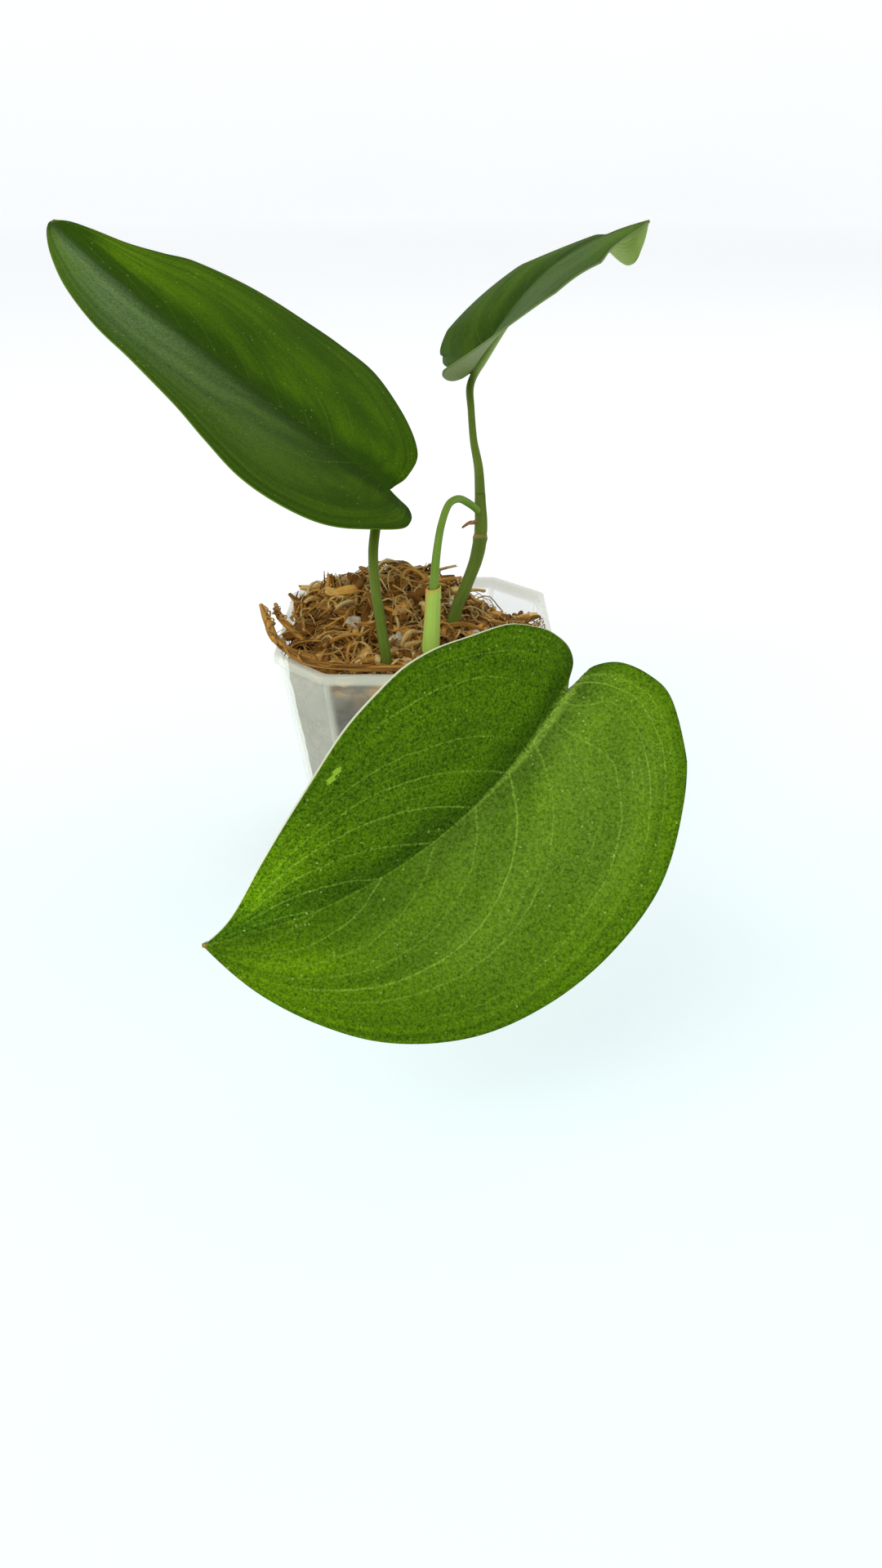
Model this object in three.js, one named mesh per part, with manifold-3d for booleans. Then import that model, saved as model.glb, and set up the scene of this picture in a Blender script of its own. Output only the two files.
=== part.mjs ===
// A young climbing plant with three heart-shaped leaves in a square nursery pot.
// Millimetres, +Z up. The origin is the centre of the pot's underside, on the floor.
import * as THREE from 'three';
import { mergeVertices } from 'three/addons/utils/BufferGeometryUtils.js';
import Module from 'manifold-3d';

const wasm = await Module();
wasm.setup();

// Pot: a thin square pot whose corners are cut off at 45 degrees
const POT_HEIGHT = 66;
const RIM_HALF = 34.5;
const FOOT_HALF = 25;
const CORNER_SHARE = 0.37; // length of each corner's cut, as a share of the half width
const CORNER_ROUNDING = 1.2;
const WALL = 0.9;
const FLOOR = 1.4;
const LIP_WIDTH = 1.7;
const LIP_DEPTH = 2.4;
const DRAIN_RADIUS = 2.6;
const DRAIN_OFFSET = 14;

// Potting mix: coconut husk heaped in the pot, with fibres and a few pale grains on it
const GAP = 0.35; // clearance between neighbouring pieces
const MIX_EDGE = 63.4; // height of the mix where it meets the wall
const MOUNDS = [
  // x, y, height, spread
  { x: -3, y: 11, height: 10.5, spread: 13 },
  { x: -24, y: 8, height: 2.5, spread: 11 },
  { x: 24, y: 23, height: -9, spread: 10 },
];
const CHIPS = 80;
const FIBRES = 26;
const MIX_SEED = 11;
const GRAIN_RADIUS = 2.1;
const GRAIN_SPOTS = [
  [-15.5, -7], [-4.5, -13.5], [-5.5, 15.5], [14.5, -10], [-20, 15], [9.5, 3.5],
];

// Leaf blades
const BLADE_THICKNESS = 0.8;
const BLADE_STEPS = 22; // steps along each half's margin
const BLADE_RINGS = 5; // steps from the midrib out to the margin
const FAN_SHARE = 0.16; // share of the margin, round the lobe, whose rows fan out from the base
const ROW_CROWDING = 1.7; // how much closer the rows leave the midrib near the base

// Each blade hangs on a midrib curve. "facing" is the way its upper side looks. Each half
// rises from the midrib by "rise" degrees, given from base to tip, and rolls back by "curl"
// degrees over "reach" millimetres. Outlines run from the base round the lobe to the tip,
// as distances along the midrib and away from it.
const LEAVES = {
  leaf_front: {
    midrib: [[28.8, -90, 87.3], [14.3, -106.7, 69.6], [-8.1, -116.8, 57.4], [-35.8, -119, 52.2]],
    facing: [0.18, -0.9, 0.4],
    twist: [0, 0, 0, 0],
    rise: [[30, 27, 22, 14], [31, 28, 22, 14]],
    curl: [18, 18],
    reach: 36,
    outlines: [
      [[0, 0], [-2.8, 0.7], [-7.4, 1.6], [-10.4, 6], [-10.7, 12], [-8.7, 17.4], [-0.8, 24.6],
        [6.3, 29.2], [16.2, 33.9], [26.6, 35.4], [37.2, 35], [47.7, 32.5], [58.1, 26.6],
        [66.4, 19.2], [74.5, 10.1], [81.5, 0]],
      [[0, 0], [-2.8, 0.7], [-5.8, 2.2], [-7.1, 5.5], [-6.9, 9.2], [-5.6, 13.3], [-1.5, 19.7],
        [5.4, 24.5], [13, 28.4], [22, 30.3], [33.2, 29.3], [43.2, 26.3], [55.5, 20.2],
        [66.3, 12.6], [75.8, 3.7], [81.5, 0]],
    ],
  },
  leaf_left: {
    midrib: [[-6.7, -3.9, 101.4], [-36, 3.9, 121.5], [-64.5, 16, 139.8], [-88.4, 32.5, 157.6]],
    facing: [0.43, -0.33, 0.84],
    twist: [0, 0, 0, 0],
    rise: [[10, 10, 10, 10], [10, 10, 10, 10]],
    curl: [10, 10],
    reach: 36,
    outlines: [
      [[0, 0], [-3.5, 0.7], [-7, 1.8], [-9.3, 6], [-8.7, 12.2], [-1.8, 22.7], [5, 29.7],
        [13.7, 33.3], [23, 34], [33, 31.2], [44, 27.2], [57, 24.6], [68, 23.2], [81.5, 18.7],
        [92, 13], [100, 7.2], [104.5, 3], [106, 0]],
      [[0, 0], [-0.9, 3], [-1.6, 8.6], [0.3, 17.4], [9.2, 26.4], [22.6, 33.3], [34, 34.3],
        [45.4, 33.4], [65.4, 28.8], [78.5, 23], [84.6, 17.2], [91.5, 11.5], [99, 7],
        [104, 3.4], [106, 0]],
    ],
  },
  leaf_right: {
    midrib: [[14, 28.7, 122.5], [21, 28.2, 131.8], [30, 53.5, 148.9], [59.8, 48.3, 156.4]],
    facing: [-0.55, -0.2, 0.81],
    twist: [7, -2, 2, 8],
    rise: [[11, 8, 7.4, -10], [32, 23, 8, -1]],
    curl: [18, 11],
    reach: 22,
    // The first half droops at its tip: folded down by "fold" degrees, rolled by "roll" per mm
    tipDroop: { from: 0.78, over: 0.22, fold: 88, roll: 2 },
    outlines: [
      [[0, 0], [-1.9, 3.2], [-3.7, 8.5], [-4.2, 14], [-3.6, 19.5], [0, 23.6], [5, 25.6],
        [10, 25.6], [18.2, 25.4], [27, 24.6], [36, 22.8], [43, 20], [48.5, 16.4], [53.5, 12.3],
        [58, 8.2], [61.4, 4.4], [63.4, 0]],
      [[0, 0], [-1.9, 3.2], [-3, 8.5], [-2.6, 15], [-1, 20], [2.3, 23.1], [9.5, 25],
        [18.2, 25.7], [27, 25.3], [36.5, 23.5], [45.2, 20.4], [52.4, 15.6], [57.9, 10],
        [61.4, 5], [63.4, 0]],
    ],
  },
};

// Stalks: routes from the foot up, with the radius at even steps along each
const STALK_SIDES = 8;
const PETIOLES = {
  leaf_front: {
    route: [[8.3, -28, 46], [8.6, -28.2, 58], [9.6, -32, 68], [13.4, -47, 77.5],
      [20.5, -70, 86], [26.3, -83.5, 89]],
    radii: [1.3, 1.4, 1.35, 1.2, 1.1, 1.15],
  },
  leaf_left: {
    route: [[-6.2, -27, 44], [-6.3, -26.8, 62], [-7.9, -24, 74.7], [-9.2, -20.5, 82.6],
      [-9.8, -15, 89.8], [-9, -8, 96.6]],
    radii: [1.4, 1.4, 1.3, 1.25, 1.2, 1.25],
  },
  leaf_right: {
    route: [[16.1, 6.1, 97.1], [15.7, 9.8, 103.2], [14.5, 14.3, 108.9], [13.9, 20, 115.5],
      [13.7, 25.2, 119.6]],
    radii: [1.35, 1.15, 0.95, 0.9, 1],
  },
};
const RIB_REACH = 0.82; // share of the midrib that stands out under the blade
const VINE = {
  route: [[7.2, -9.6, 48], [7.6, -9.2, 60], [10.1, -6.9, 71.5], [12.8, -4.5, 77.8],
    [15.1, -1.5, 83.2], [16.1, 1, 87.6], [16.35, 3, 91.2], [16.15, 5.3, 95.5], [16.1, 5.85, 96.6]],
  radii: [1.8, 1.8, 1.75, 1.65, 1.5, 1.55, 1.75, 1.6, 1.35],
};
const ARCH_FOOT_RADIUS = 1.35;
const ARCH = {
  route: [[16.3, 4.2, 92.6], [15.4, 3.4, 94.2], [13.4, 1.5, 96.4], [10.7, -1.5, 98.5],
    [8.3, -5, 98.3], [6.5, -9.5, 95], [5.3, -15, 89.8], [4.7, -19, 83.7], [4.2, -21.4, 74.5],
    [3.8, -22.4, 66.4], [3.6, -22.8, 54]],
  radii: [0.9, 0.95, 0.9, 0.9, 0.95, 1.05, 1.2, ARCH_FOOT_RADIUS, ARCH_FOOT_RADIUS,
    ARCH_FOOT_RADIUS, 1.3],
};
const SHEATH_WALL = 0.65;
const SHEATH_SPAN = [0.55, 0.975]; // where on the arch's route the sheath wraps it
const AERIAL_ROOT = {
  route: [[16.2, 3, 91.5], [13.2, 1.5, 91.5], [11.6, 0.5, 90.7]],
  radii: [0.6, 0.5, 0.25],
};

const COLOURS = {
  pot: 0xd9d8d3,
  mix: 0x7c5226,
  grain: 0xe9e4d8,
  blade: 0x4f7a1c,
  vine: 0x5f7f2a,
  sheath: 0x9fbe5c,
  root: 0x8a6238,
};

// Vectors, seeded numbers and solids

const vec = (p) => new THREE.Vector3(...p);
const routeOf = (points) => new THREE.CatmullRomCurve3(points.map(vec), false, 'centripetal');

function seeded(seed) {
  let state = seed >>> 0;
  return () => {
    state = (state + 0x6d2b79f5) >>> 0;
    let t = state;
    t = Math.imul(t ^ (t >>> 15), t | 1);
    t ^= t + Math.imul(t ^ (t >>> 7), t | 61);
    return ((t ^ (t >>> 14)) >>> 0) / 4294967296;
  };
}

function between(values, u) {
  const at = Math.min(Math.max(u, 0), 1) * (values.length - 1);
  const i = Math.min(Math.floor(at), values.length - 2);
  return THREE.MathUtils.lerp(values[i], values[i + 1], at - i);
}

function indexed(points, triangles) {
  const geometry = new THREE.BufferGeometry();
  const flat = points.flatMap((p) => [p.x, p.y, p.z]);
  geometry.setAttribute('position', new THREE.Float32BufferAttribute(flat, 3));
  geometry.setIndex(triangles.flat());
  return geometry;
}

// A closed body through rings of equal count, closed by a fan at each end
function loft(rings) {
  const count = rings[0].length;
  const points = rings.flat();
  const triangles = [];
  for (let r = 0; r + 1 < rings.length; r += 1) {
    for (let i = 0; i < count; i += 1) {
      const j = (i + 1) % count;
      const [a, b, c, d] = [r * count + i, r * count + j, (r + 1) * count + i, (r + 1) * count + j];
      triangles.push([a, b, d], [a, d, c]);
    }
  }
  for (const [ring, flip] of [[0, true], [rings.length - 1, false]]) {
    const centre = points.length;
    const sum = rings[ring].reduce((s, p) => s.add(p), new THREE.Vector3());
    points.push(sum.divideScalar(count));
    for (let i = 0; i < count; i += 1) {
      const [a, b] = [ring * count + i, ring * count + ((i + 1) % count)];
      triangles.push(flip ? [b, a, centre] : [a, b, centre]);
    }
  }
  return indexed(points, triangles);
}

function solidOf(geometry) {
  const bare = geometry.clone();
  bare.deleteAttribute('normal');
  bare.deleteAttribute('uv');
  const merged = mergeVertices(bare, 1e-4);
  const mesh = new wasm.Mesh({
    numProp: 3,
    vertProperties: new Float32Array(merged.getAttribute('position').array),
    triVerts: new Uint32Array(merged.getIndex().array),
  });
  const solid = new wasm.Manifold(mesh);
  return solid.volume() < 0 ? new wasm.Manifold(flipped(mesh)) : solid;
}

function flipped(mesh) {
  const triangles = mesh.triVerts.slice();
  for (let i = 0; i < triangles.length; i += 3) {
    [triangles[i], triangles[i + 1]] = [triangles[i + 1], triangles[i]];
  }
  return new wasm.Mesh({ numProp: 3, vertProperties: mesh.vertProperties, triVerts: triangles });
}

// The largest body of a solid, with slivers under 0.01 mm taken out
function geometryOf(solid) {
  const bodies = solid.simplify(0.01).decompose();
  bodies.sort((a, b) => b.volume() - a.volume());
  const mesh = bodies[0].getMesh();
  const geometry = new THREE.BufferGeometry();
  const places = new THREE.Float32BufferAttribute(mesh.vertProperties, mesh.numProp);
  geometry.setAttribute('position', places);
  geometry.setIndex(new THREE.Uint32BufferAttribute(mesh.triVerts, 1));
  geometry.computeVertexNormals();
  return geometry;
}

function meshOf(name, solid, colour, roughness) {
  const material = new THREE.MeshStandardMaterial({ color: colour, roughness, metalness: 0 });
  const mesh = new THREE.Mesh(geometryOf(solid), material);
  mesh.name = name;
  return mesh;
}

// A round stalk along a route, its radius read from a list and grown by "extra"
function stalk(points, radii, steps, extra = 0, sides = STALK_SIDES) {
  const curve = routeOf(points);
  const frames = curve.computeFrenetFrames(steps, false);
  const rings = [];
  for (let i = 0; i <= steps; i += 1) {
    const centre = curve.getPointAt(i / steps);
    const radius = between(radii, i / steps) + extra;
    rings.push(Array.from({ length: sides }, (_, k) => {
      const turn = (2 * Math.PI * k) / sides;
      return centre.clone()
        .addScaledVector(frames.normals[i], radius * Math.cos(turn))
        .addScaledVector(frames.binormals[i], radius * Math.sin(turn));
    }));
  }
  return solidOf(loft(rings));
}

// Pot

function squareRing(half, z) {
  const flat = half * (1 - CORNER_SHARE);
  const corners = [
    [flat, -half], [half, -flat], [half, flat], [flat, half],
    [-flat, half], [-half, flat], [-half, -flat], [-flat, -half],
  ];
  return corners.flatMap(([x, y], i) => {
    const at = new THREE.Vector2(x, y);
    const before = new THREE.Vector2(...corners[(i + 7) % 8]).sub(at).setLength(CORNER_ROUNDING);
    const after = new THREE.Vector2(...corners[(i + 1) % 8]).sub(at).setLength(CORNER_ROUNDING);
    return [before, after].map((d) => new THREE.Vector3(x + d.x, y + d.y, z));
  });
}

const wallHalf = (z) => THREE.MathUtils.lerp(FOOT_HALF, RIM_HALF - LIP_WIDTH + WALL, z / POT_HEIGHT);

// The pot's closed shell, grown by "gap" on every side for cutting clearances
function potShell(gap) {
  const lipFoot = POT_HEIGHT - LIP_DEPTH;
  const rings = [
    squareRing(FOOT_HALF - 0.6 + gap, -gap),
    squareRing(FOOT_HALF + gap, 0.8),
    squareRing(wallHalf(lipFoot - 0.8) + gap, lipFoot - 0.8),
    squareRing(RIM_HALF - 0.2 + gap, lipFoot - gap),
    squareRing(RIM_HALF + gap, lipFoot + 0.6),
    squareRing(RIM_HALF + gap, POT_HEIGHT - 0.6),
    squareRing(RIM_HALF - 0.5 + gap, POT_HEIGHT + gap),
    squareRing(RIM_HALF - LIP_WIDTH + 0.4 - gap, POT_HEIGHT + gap),
    squareRing(RIM_HALF - LIP_WIDTH - gap, POT_HEIGHT - 0.6),
    squareRing(wallHalf(FLOOR) - WALL - gap, FLOOR + gap),
  ];
  return solidOf(loft(rings));
}

function drain(x, y) {
  const hole = new THREE.CylinderGeometry(DRAIN_RADIUS, DRAIN_RADIUS, 4 * FLOOR, 16);
  hole.rotateX(Math.PI / 2);
  hole.translate(x, y, 0);
  return solidOf(hole);
}

function pot() {
  let shell = potShell(0);
  for (const x of [-DRAIN_OFFSET, DRAIN_OFFSET]) {
    for (const y of [-DRAIN_OFFSET, DRAIN_OFFSET]) shell = shell.subtract(drain(x, y));
  }
  return shell;
}

// Potting mix

function mixHeight(x, y) {
  const mound = MOUNDS.reduce((sum, m) => {
    const away = ((x - m.x) ** 2 + (y - m.y) ** 2) / (2 * m.spread ** 2);
    return sum + m.height * Math.exp(-away);
  }, 0);
  const lumps = 0.7 * Math.sin(0.55 * x + 1.1) * Math.cos(0.47 * y - 0.6);
  const ripples = 0.4 * Math.sin(0.9 * y - 0.4 * x);
  return MIX_EDGE + mound + lumps + ripples;
}

function mixCore() {
  const inner = (z) => wallHalf(z) - WALL - GAP - 0.1;
  const edge = inner(MIX_EDGE);
  const onHeap = (share) => squareRing(edge * share, 0)
    .map((p) => new THREE.Vector3(p.x, p.y, mixHeight(p.x, p.y)));
  return solidOf(loft([
    squareRing(inner(FLOOR + GAP), FLOOR + 2 * GAP),
    squareRing(inner(MIX_EDGE - 8), MIX_EDGE - 8),
    squareRing(edge, MIX_EDGE).map((p) => p.setZ(Math.min(mixHeight(p.x, p.y), MIX_EDGE + 1))),
    ...[0.84, 0.66, 0.48, 0.3, 0.14].map(onHeap),
  ]));
}

// A bent flat strip: a chip when it is broad, a fibre when it is thin
function strip(length, width, thickness, bend, steps) {
  const rings = [];
  for (let i = 0; i <= steps; i += 1) {
    const u = i / steps;
    const taper = 0.35 + 0.65 * Math.sin(Math.PI * (0.12 + 0.76 * u));
    const [w, t] = [(width / 2) * taper, (thickness / 2) * taper];
    const x = (u - 0.5) * length;
    const z = bend * (1 - (2 * u - 1) ** 2);
    rings.push([[-w, -t], [w, -t], [w, t], [-w, t]].map(([y, dz]) => new THREE.Vector3(x, y, z + dz)));
  }
  return loft(rings);
}

function placed(geometry, at, heading, tilt, roll) {
  geometry.rotateX(roll);
  geometry.rotateY(-tilt);
  geometry.rotateZ(heading);
  geometry.translate(...at);
  return solidOf(geometry);
}

function mixPieces() {
  const random = seeded(MIX_SEED);
  const spread = (low, high) => low + (high - low) * random();
  const pieces = [];
  const inside = RIM_HALF - 5;
  for (let i = 0; i < CHIPS; i += 1) {
    const [x, y] = [spread(-inside, inside), spread(-inside, inside)];
    const [length, width, thickness] = [spread(8, 15), spread(2, 4.6), spread(1, 2)];
    const [heading, tilt, roll] = [spread(0, 2 * Math.PI), spread(-0.35, 0.55), spread(-0.8, 0.8)];
    const bend = spread(0, 1.2);
    if (Math.abs(x) + Math.abs(y) < 1.55 * inside) {
      const at = [x, y, mixHeight(x, y) + 0.35];
      pieces.push(placed(strip(length, width, thickness, bend, 2), at, heading, tilt, roll));
    }
  }
  for (let i = 0; i < FIBRES; i += 1) {
    const [x, y] = [spread(-inside, inside), spread(-inside, inside)];
    const [length, width] = [spread(9, 17), spread(0.8, 1.3)];
    const [heading, tilt, bend] = [spread(0, 2 * Math.PI), spread(-0.3, 0.7), spread(0.6, 3)];
    if (Math.abs(x) + Math.abs(y) < 1.5 * inside) {
      const at = [x, y, mixHeight(x, y) + 0.9];
      pieces.push(placed(strip(length, width, width, bend, 4), at, heading, tilt, 0));
    }
  }
  return pieces;
}

// Long strips of husk that lie over the rim's front left corner
const RIM_STRIPS = [
  { route: [[-24, 2, 65], [-30, 5.5, 68], [-33.6, 8, 70.6]], radii: [1.3, 1.1, 0.5] },
  { route: [[-20.5, 4, 64], [-23.4, 9, 69.5], [-23, 12, 74.6]], radii: [1.8, 1.5, 0.5] },
  {
    route: [[-41.3, 8.5, 67.4], [-37.6, -5, 67.5], [-34.4, -16, 67.6], [-30, -22, 67], [-24, -22, 65]],
    radii: [0.5, 0.95, 1.05, 1, 0.9],
  },
  {
    route: [[-33, -19.5, 67.4], [-24.4, -30.2, 67.6], [-12, -32.6, 67.4], [-3, -31.4, 66.9], [3, -27, 64.5]],
    radii: [0.7, 1.05, 1, 1, 0.8],
  },
  { route: [[-37.4, 8, 67.8], [-34.4, -4, 68.2], [-28, -13, 66]], radii: [0.5, 0.9, 0.8] },
];

function mix(stalks, grains) {
  const strips = RIM_STRIPS.map((s) => stalk(s.route, s.radii, 6, 0, 5));
  let body = wasm.Manifold.union([mixCore(), ...mixPieces(), ...strips]);
  body = body.subtract(potShell(GAP));
  for (const cut of [...stalks, ...grains]) body = body.subtract(cut);
  return body;
}

function grain(x, y, turn, extra) {
  const shape = new THREE.IcosahedronGeometry(GRAIN_RADIUS + extra, 0);
  shape.scale(1.15, 0.9, 0.8);
  shape.rotateZ(turn);
  shape.translate(x, y, mixHeight(x, y) + 1.5);
  return solidOf(shape);
}

// Leaves

// The blade's surface: a point at "s" along the midrib and "t" away from it, on side 0 or 1
function bladeSurface(leaf) {
  const rib = new THREE.CubicBezierCurve3(...leaf.midrib.map(vec));
  const length = leaf.outlines[0].at(-1)[0];
  const facing = vec(leaf.facing).normalize();
  const radians = THREE.MathUtils.degToRad;
  const point = (s, t, side) => {
    const u = THREE.MathUtils.clamp(s / length, 0, 1);
    const along = rib.getTangent(u);
    const centre = rib.getPoint(u).addScaledVector(along, Math.min(s, 0));
    const up = facing.clone().addScaledVector(along, -along.dot(facing)).normalize();
    const across = up.clone().cross(along);
    const turn = radians(between(leaf.twist, u));
    const out = across.clone().multiplyScalar(Math.cos(turn)).addScaledVector(up, -Math.sin(turn));
    const top = up.multiplyScalar(Math.cos(turn)).addScaledVector(across, Math.sin(turn));
    let rise = radians(between(leaf.rise[side], u));
    let bend = radians(leaf.curl[side]) / leaf.reach;
    if (leaf.tipDroop && side === 0) {
      const { from, over, fold, roll } = leaf.tipDroop;
      const share = THREE.MathUtils.smoothstep(u, from, from + over);
      rise -= radians(fold) * share;
      bend += radians(roll) * share;
    }
    const sideways = (Math.sin(rise) - Math.sin(rise - bend * t)) / bend;
    const upwards = (Math.cos(rise - bend * t) - Math.cos(rise)) / bend;
    return centre.addScaledVector(out, side === 0 ? sideways : -sideways).addScaledVector(top, upwards);
  };
  return { point, rib, length, facing };
}

// Rows run from the midrib out to the margin and sweep towards the tip, as the side veins do
function bladeSheet(leaf) {
  const { point, length } = bladeSurface(leaf);
  const points = [];
  const triangles = [];
  leaf.outlines.forEach((outline, side) => {
    const margin = new THREE.SplineCurve(outline.map((p) => new THREE.Vector2(...p)));
    const start = points.length;
    for (let j = 0; j <= BLADE_STEPS; j += 1) {
      const v = j / BLADE_STEPS;
      const edge = margin.getPointAt(v);
      const foot = length * Math.max((v - FAN_SHARE) / (1 - FAN_SHARE), 0) ** ROW_CROWDING;
      for (let k = 0; k <= BLADE_RINGS; k += 1) {
        const r = k / BLADE_RINGS;
        const s = foot + (edge.x - foot) * (0.5 * r + 0.5 * r * r);
        const t = Math.max(edge.y, 0) * (1.25 * r - 0.25 * r * r);
        points.push(point(s, t, side));
      }
    }
    for (let j = 0; j < BLADE_STEPS; j += 1) {
      for (let k = 0; k < BLADE_RINGS; k += 1) {
        const a = start + j * (BLADE_RINGS + 1) + k;
        const [b, c, d] = [a + 1, a + BLADE_RINGS + 1, a + BLADE_RINGS + 2];
        triangles.push(...(side === 0 ? [[a, c, b], [b, c, d]] : [[a, b, c], [b, d, c]]));
      }
    }
  });
  return indexed(points, triangles);
}

// A sheet given a thickness: both faces have the same triangles, joined along the edge
function thicken(sheet, thickness) {
  const merged = mergeVertices(sheet, 1e-4);
  const order = merged.getIndex().array;
  const faces = [];
  for (let i = 0; i < order.length; i += 3) {
    const [a, b, c] = [order[i], order[i + 1], order[i + 2]];
    if (a !== b && b !== c && c !== a) faces.push([a, b, c]);
  }
  merged.setIndex(faces.flat());
  merged.computeVertexNormals();
  const places = merged.getAttribute('position');
  const normals = merged.getAttribute('normal');
  const count = places.count;
  const points = [];
  for (const side of [0.5, -0.5]) {
    for (let i = 0; i < count; i += 1) {
      const normal = new THREE.Vector3().fromBufferAttribute(normals, i);
      const place = new THREE.Vector3().fromBufferAttribute(places, i);
      points.push(place.addScaledVector(normal, side * thickness));
    }
  }
  const edges = new Set(faces.flatMap(([a, b, c]) => [`${a} ${b}`, `${b} ${c}`, `${c} ${a}`]));
  const triangles = faces.flatMap(([a, b, c]) => [[a, b, c], [c + count, b + count, a + count]]);
  for (const edge of edges) {
    const [a, b] = edge.split(' ').map(Number);
    if (!edges.has(`${b} ${a}`)) triangles.push([b, a, a + count], [b, a + count, b + count]);
  }
  return indexed(points, triangles);
}

// The petiole runs on under the blade as its midrib
function petiole(name, extra = 0) {
  const { rib, facing } = bladeSurface(LEAVES[name]);
  const { route, radii } = PETIOLES[name];
  const under = [0.02, 0.2, 0.45, RIB_REACH].map((u) => {
    const sunk = THREE.MathUtils.lerp(0.75, 0.3, u);
    return rib.getPoint(u).addScaledVector(facing, -sunk).toArray();
  });
  const thin = [0.95, 0.8, 0.6, 0.45];
  const curve = routeOf([...route, ...under]);
  const stemShare = routeOf(route).getLength() / curve.getLength();
  const radiusAt = (u) => (u < stemShare
    ? between(radii, u / stemShare)
    : between([radii.at(-1), ...thin], (u - stemShare) / (1 - stemShare)));
  const steps = 26;
  const list = Array.from({ length: steps + 1 }, (_, i) => radiusAt(i / steps));
  return stalk([...route, ...under], list, steps, extra);
}

function leaf(name) {
  return solidOf(thicken(bladeSheet(LEAVES[name]), BLADE_THICKNESS)).add(petiole(name));
}

// Stems

const vineStem = (extra = 0) => stalk(VINE.route, VINE.radii, 16, extra);
const archStem = (extra = 0) => stalk(ARCH.route, ARCH.radii, 26, extra);

function sheathPart(extra) {
  const curve = routeOf(ARCH.route);
  const [from, to] = SHEATH_SPAN;
  const route = Array.from({ length: 7 }, (_, i) => {
    const u = THREE.MathUtils.lerp(from, to, i / 6);
    return curve.getPointAt(u).toArray();
  });
  return stalk(route, [ARCH_FOOT_RADIUS, ARCH_FOOT_RADIUS], 8, extra, 10);
}

const sheathOuter = (extra = 0) => sheathPart(GAP + SHEATH_WALL + extra);

// Assembly

const vine = vineStem().add(archStem());
const grains = GRAIN_SPOTS.map(([x, y], i) => grain(x, y, i, 0));
const holes = [
  vineStem(GAP), archStem(GAP), sheathOuter(GAP), petiole('leaf_front', GAP), petiole('leaf_left', GAP),
];
const pockets = GRAIN_SPOTS.map(([x, y], i) => grain(x, y, i, GAP));

const plant = new THREE.Group();
plant.add(meshOf('pot', pot(), COLOURS.pot, 0.35));
plant.add(meshOf('potting_mix', mix(holes, pockets), COLOURS.mix, 0.95));
grains.forEach((solid, i) => plant.add(meshOf(`perlite_${i + 1}`, solid, COLOURS.grain, 0.9)));
plant.add(meshOf('vine_stem', vine, COLOURS.vine, 0.5));
plant.add(meshOf('leaf_sheath', sheathOuter().subtract(archStem(GAP)), COLOURS.sheath, 0.5));
plant.add(meshOf('aerial_root', stalk(AERIAL_ROOT.route, AERIAL_ROOT.radii, 5, 0, 6)
  .subtract(vineStem(GAP)), COLOURS.root, 0.9));
for (const name of Object.keys(LEAVES)) {
  plant.add(meshOf(name, leaf(name), COLOURS.blade, 0.45));
}

export default plant;
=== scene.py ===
import math

import bpy
import numpy as np
from mathutils import Euler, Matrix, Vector, noise


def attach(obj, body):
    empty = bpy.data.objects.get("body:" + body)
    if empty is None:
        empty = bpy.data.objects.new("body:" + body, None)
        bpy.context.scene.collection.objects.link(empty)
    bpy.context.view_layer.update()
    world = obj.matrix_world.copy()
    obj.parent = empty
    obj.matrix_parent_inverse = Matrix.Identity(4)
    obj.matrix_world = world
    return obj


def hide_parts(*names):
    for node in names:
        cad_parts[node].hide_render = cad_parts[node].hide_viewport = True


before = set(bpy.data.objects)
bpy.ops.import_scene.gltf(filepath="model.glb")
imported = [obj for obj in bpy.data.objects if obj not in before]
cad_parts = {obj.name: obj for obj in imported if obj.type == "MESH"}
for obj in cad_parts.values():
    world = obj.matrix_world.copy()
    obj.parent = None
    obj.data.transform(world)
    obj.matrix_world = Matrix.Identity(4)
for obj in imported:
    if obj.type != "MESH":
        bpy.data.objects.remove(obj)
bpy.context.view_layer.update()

bl_info = {
    "name": "Potted satin-leaved climber",
    "version": (1, 0),
    "blender": (4, 5, 0),
    "location": "3D View > Sidebar > Potted plant",
    "description": "Dresses a young climbing plant in its clear nursery pot",
    "category": "Object",
}

MM = 0.001


def srgb(*levels):
    """A colour given in 0 to 255 as it looks on a screen, as linear light."""
    return tuple(c / 255 / 12.92 if c <= 10 else ((c / 255 + 0.055) / 1.055) ** 2.4 for c in levels)


# Sizes in millimetres. The origin is the centre of the pot's underside, with +Z up

# Pot
POT_HEIGHT = 66
RIM_HALF = 34.5
FOOT_HALF = 25
CORNER_SHARE = 0.37
CORNER_ROUNDING = 1.2
WALL = 0.9
FLOOR = 1.4
LIP_WIDTH = 1.7
LIP_DEPTH = 2.4
LIP_OUTER_ROUNDING = 0.55
LIP_INNER_ROUNDING = 0.4
DRAIN_RADIUS = 2.6
DRAIN_OFFSET = 14

# Potting mix
GAP = 0.35
MIX_EDGE = 63.4
MOUNDS = ((-3, 11, 10.5, 13), (-24, 8, 2.5, 11), (24, 23, -9, 10))
BED_LEVELS = 26
BED_RINGS = 46
BED_CUTS = 14
MIX_SEED = 11
STREWN_HALF = RIM_HALF - 5
CHIPS = 80
FIBRES = 26
TINT_STEP = 0.618
CHIP_SECTION = ((-1, -0.6), (-0.6, -1), (0, -1), (0.6, -1), (1, -0.6),
                (1, 0.6), (0.6, 1), (0, 1), (-0.6, 1), (-1, 0.6))
TUFT_FIBRES = 26
TUFTS = ((-23, 12, 75.5), (-30, 7, 71.5), (-16, 15, 73.5), (-6, 16, 77.5), (4, 17, 76.5),
         (-12, 3, 73.5), (10, 12, 74))
GRAIN_RADIUS = 2.1
GRAIN_SHAPE = (1.15, 0.9, 0.8)
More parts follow.
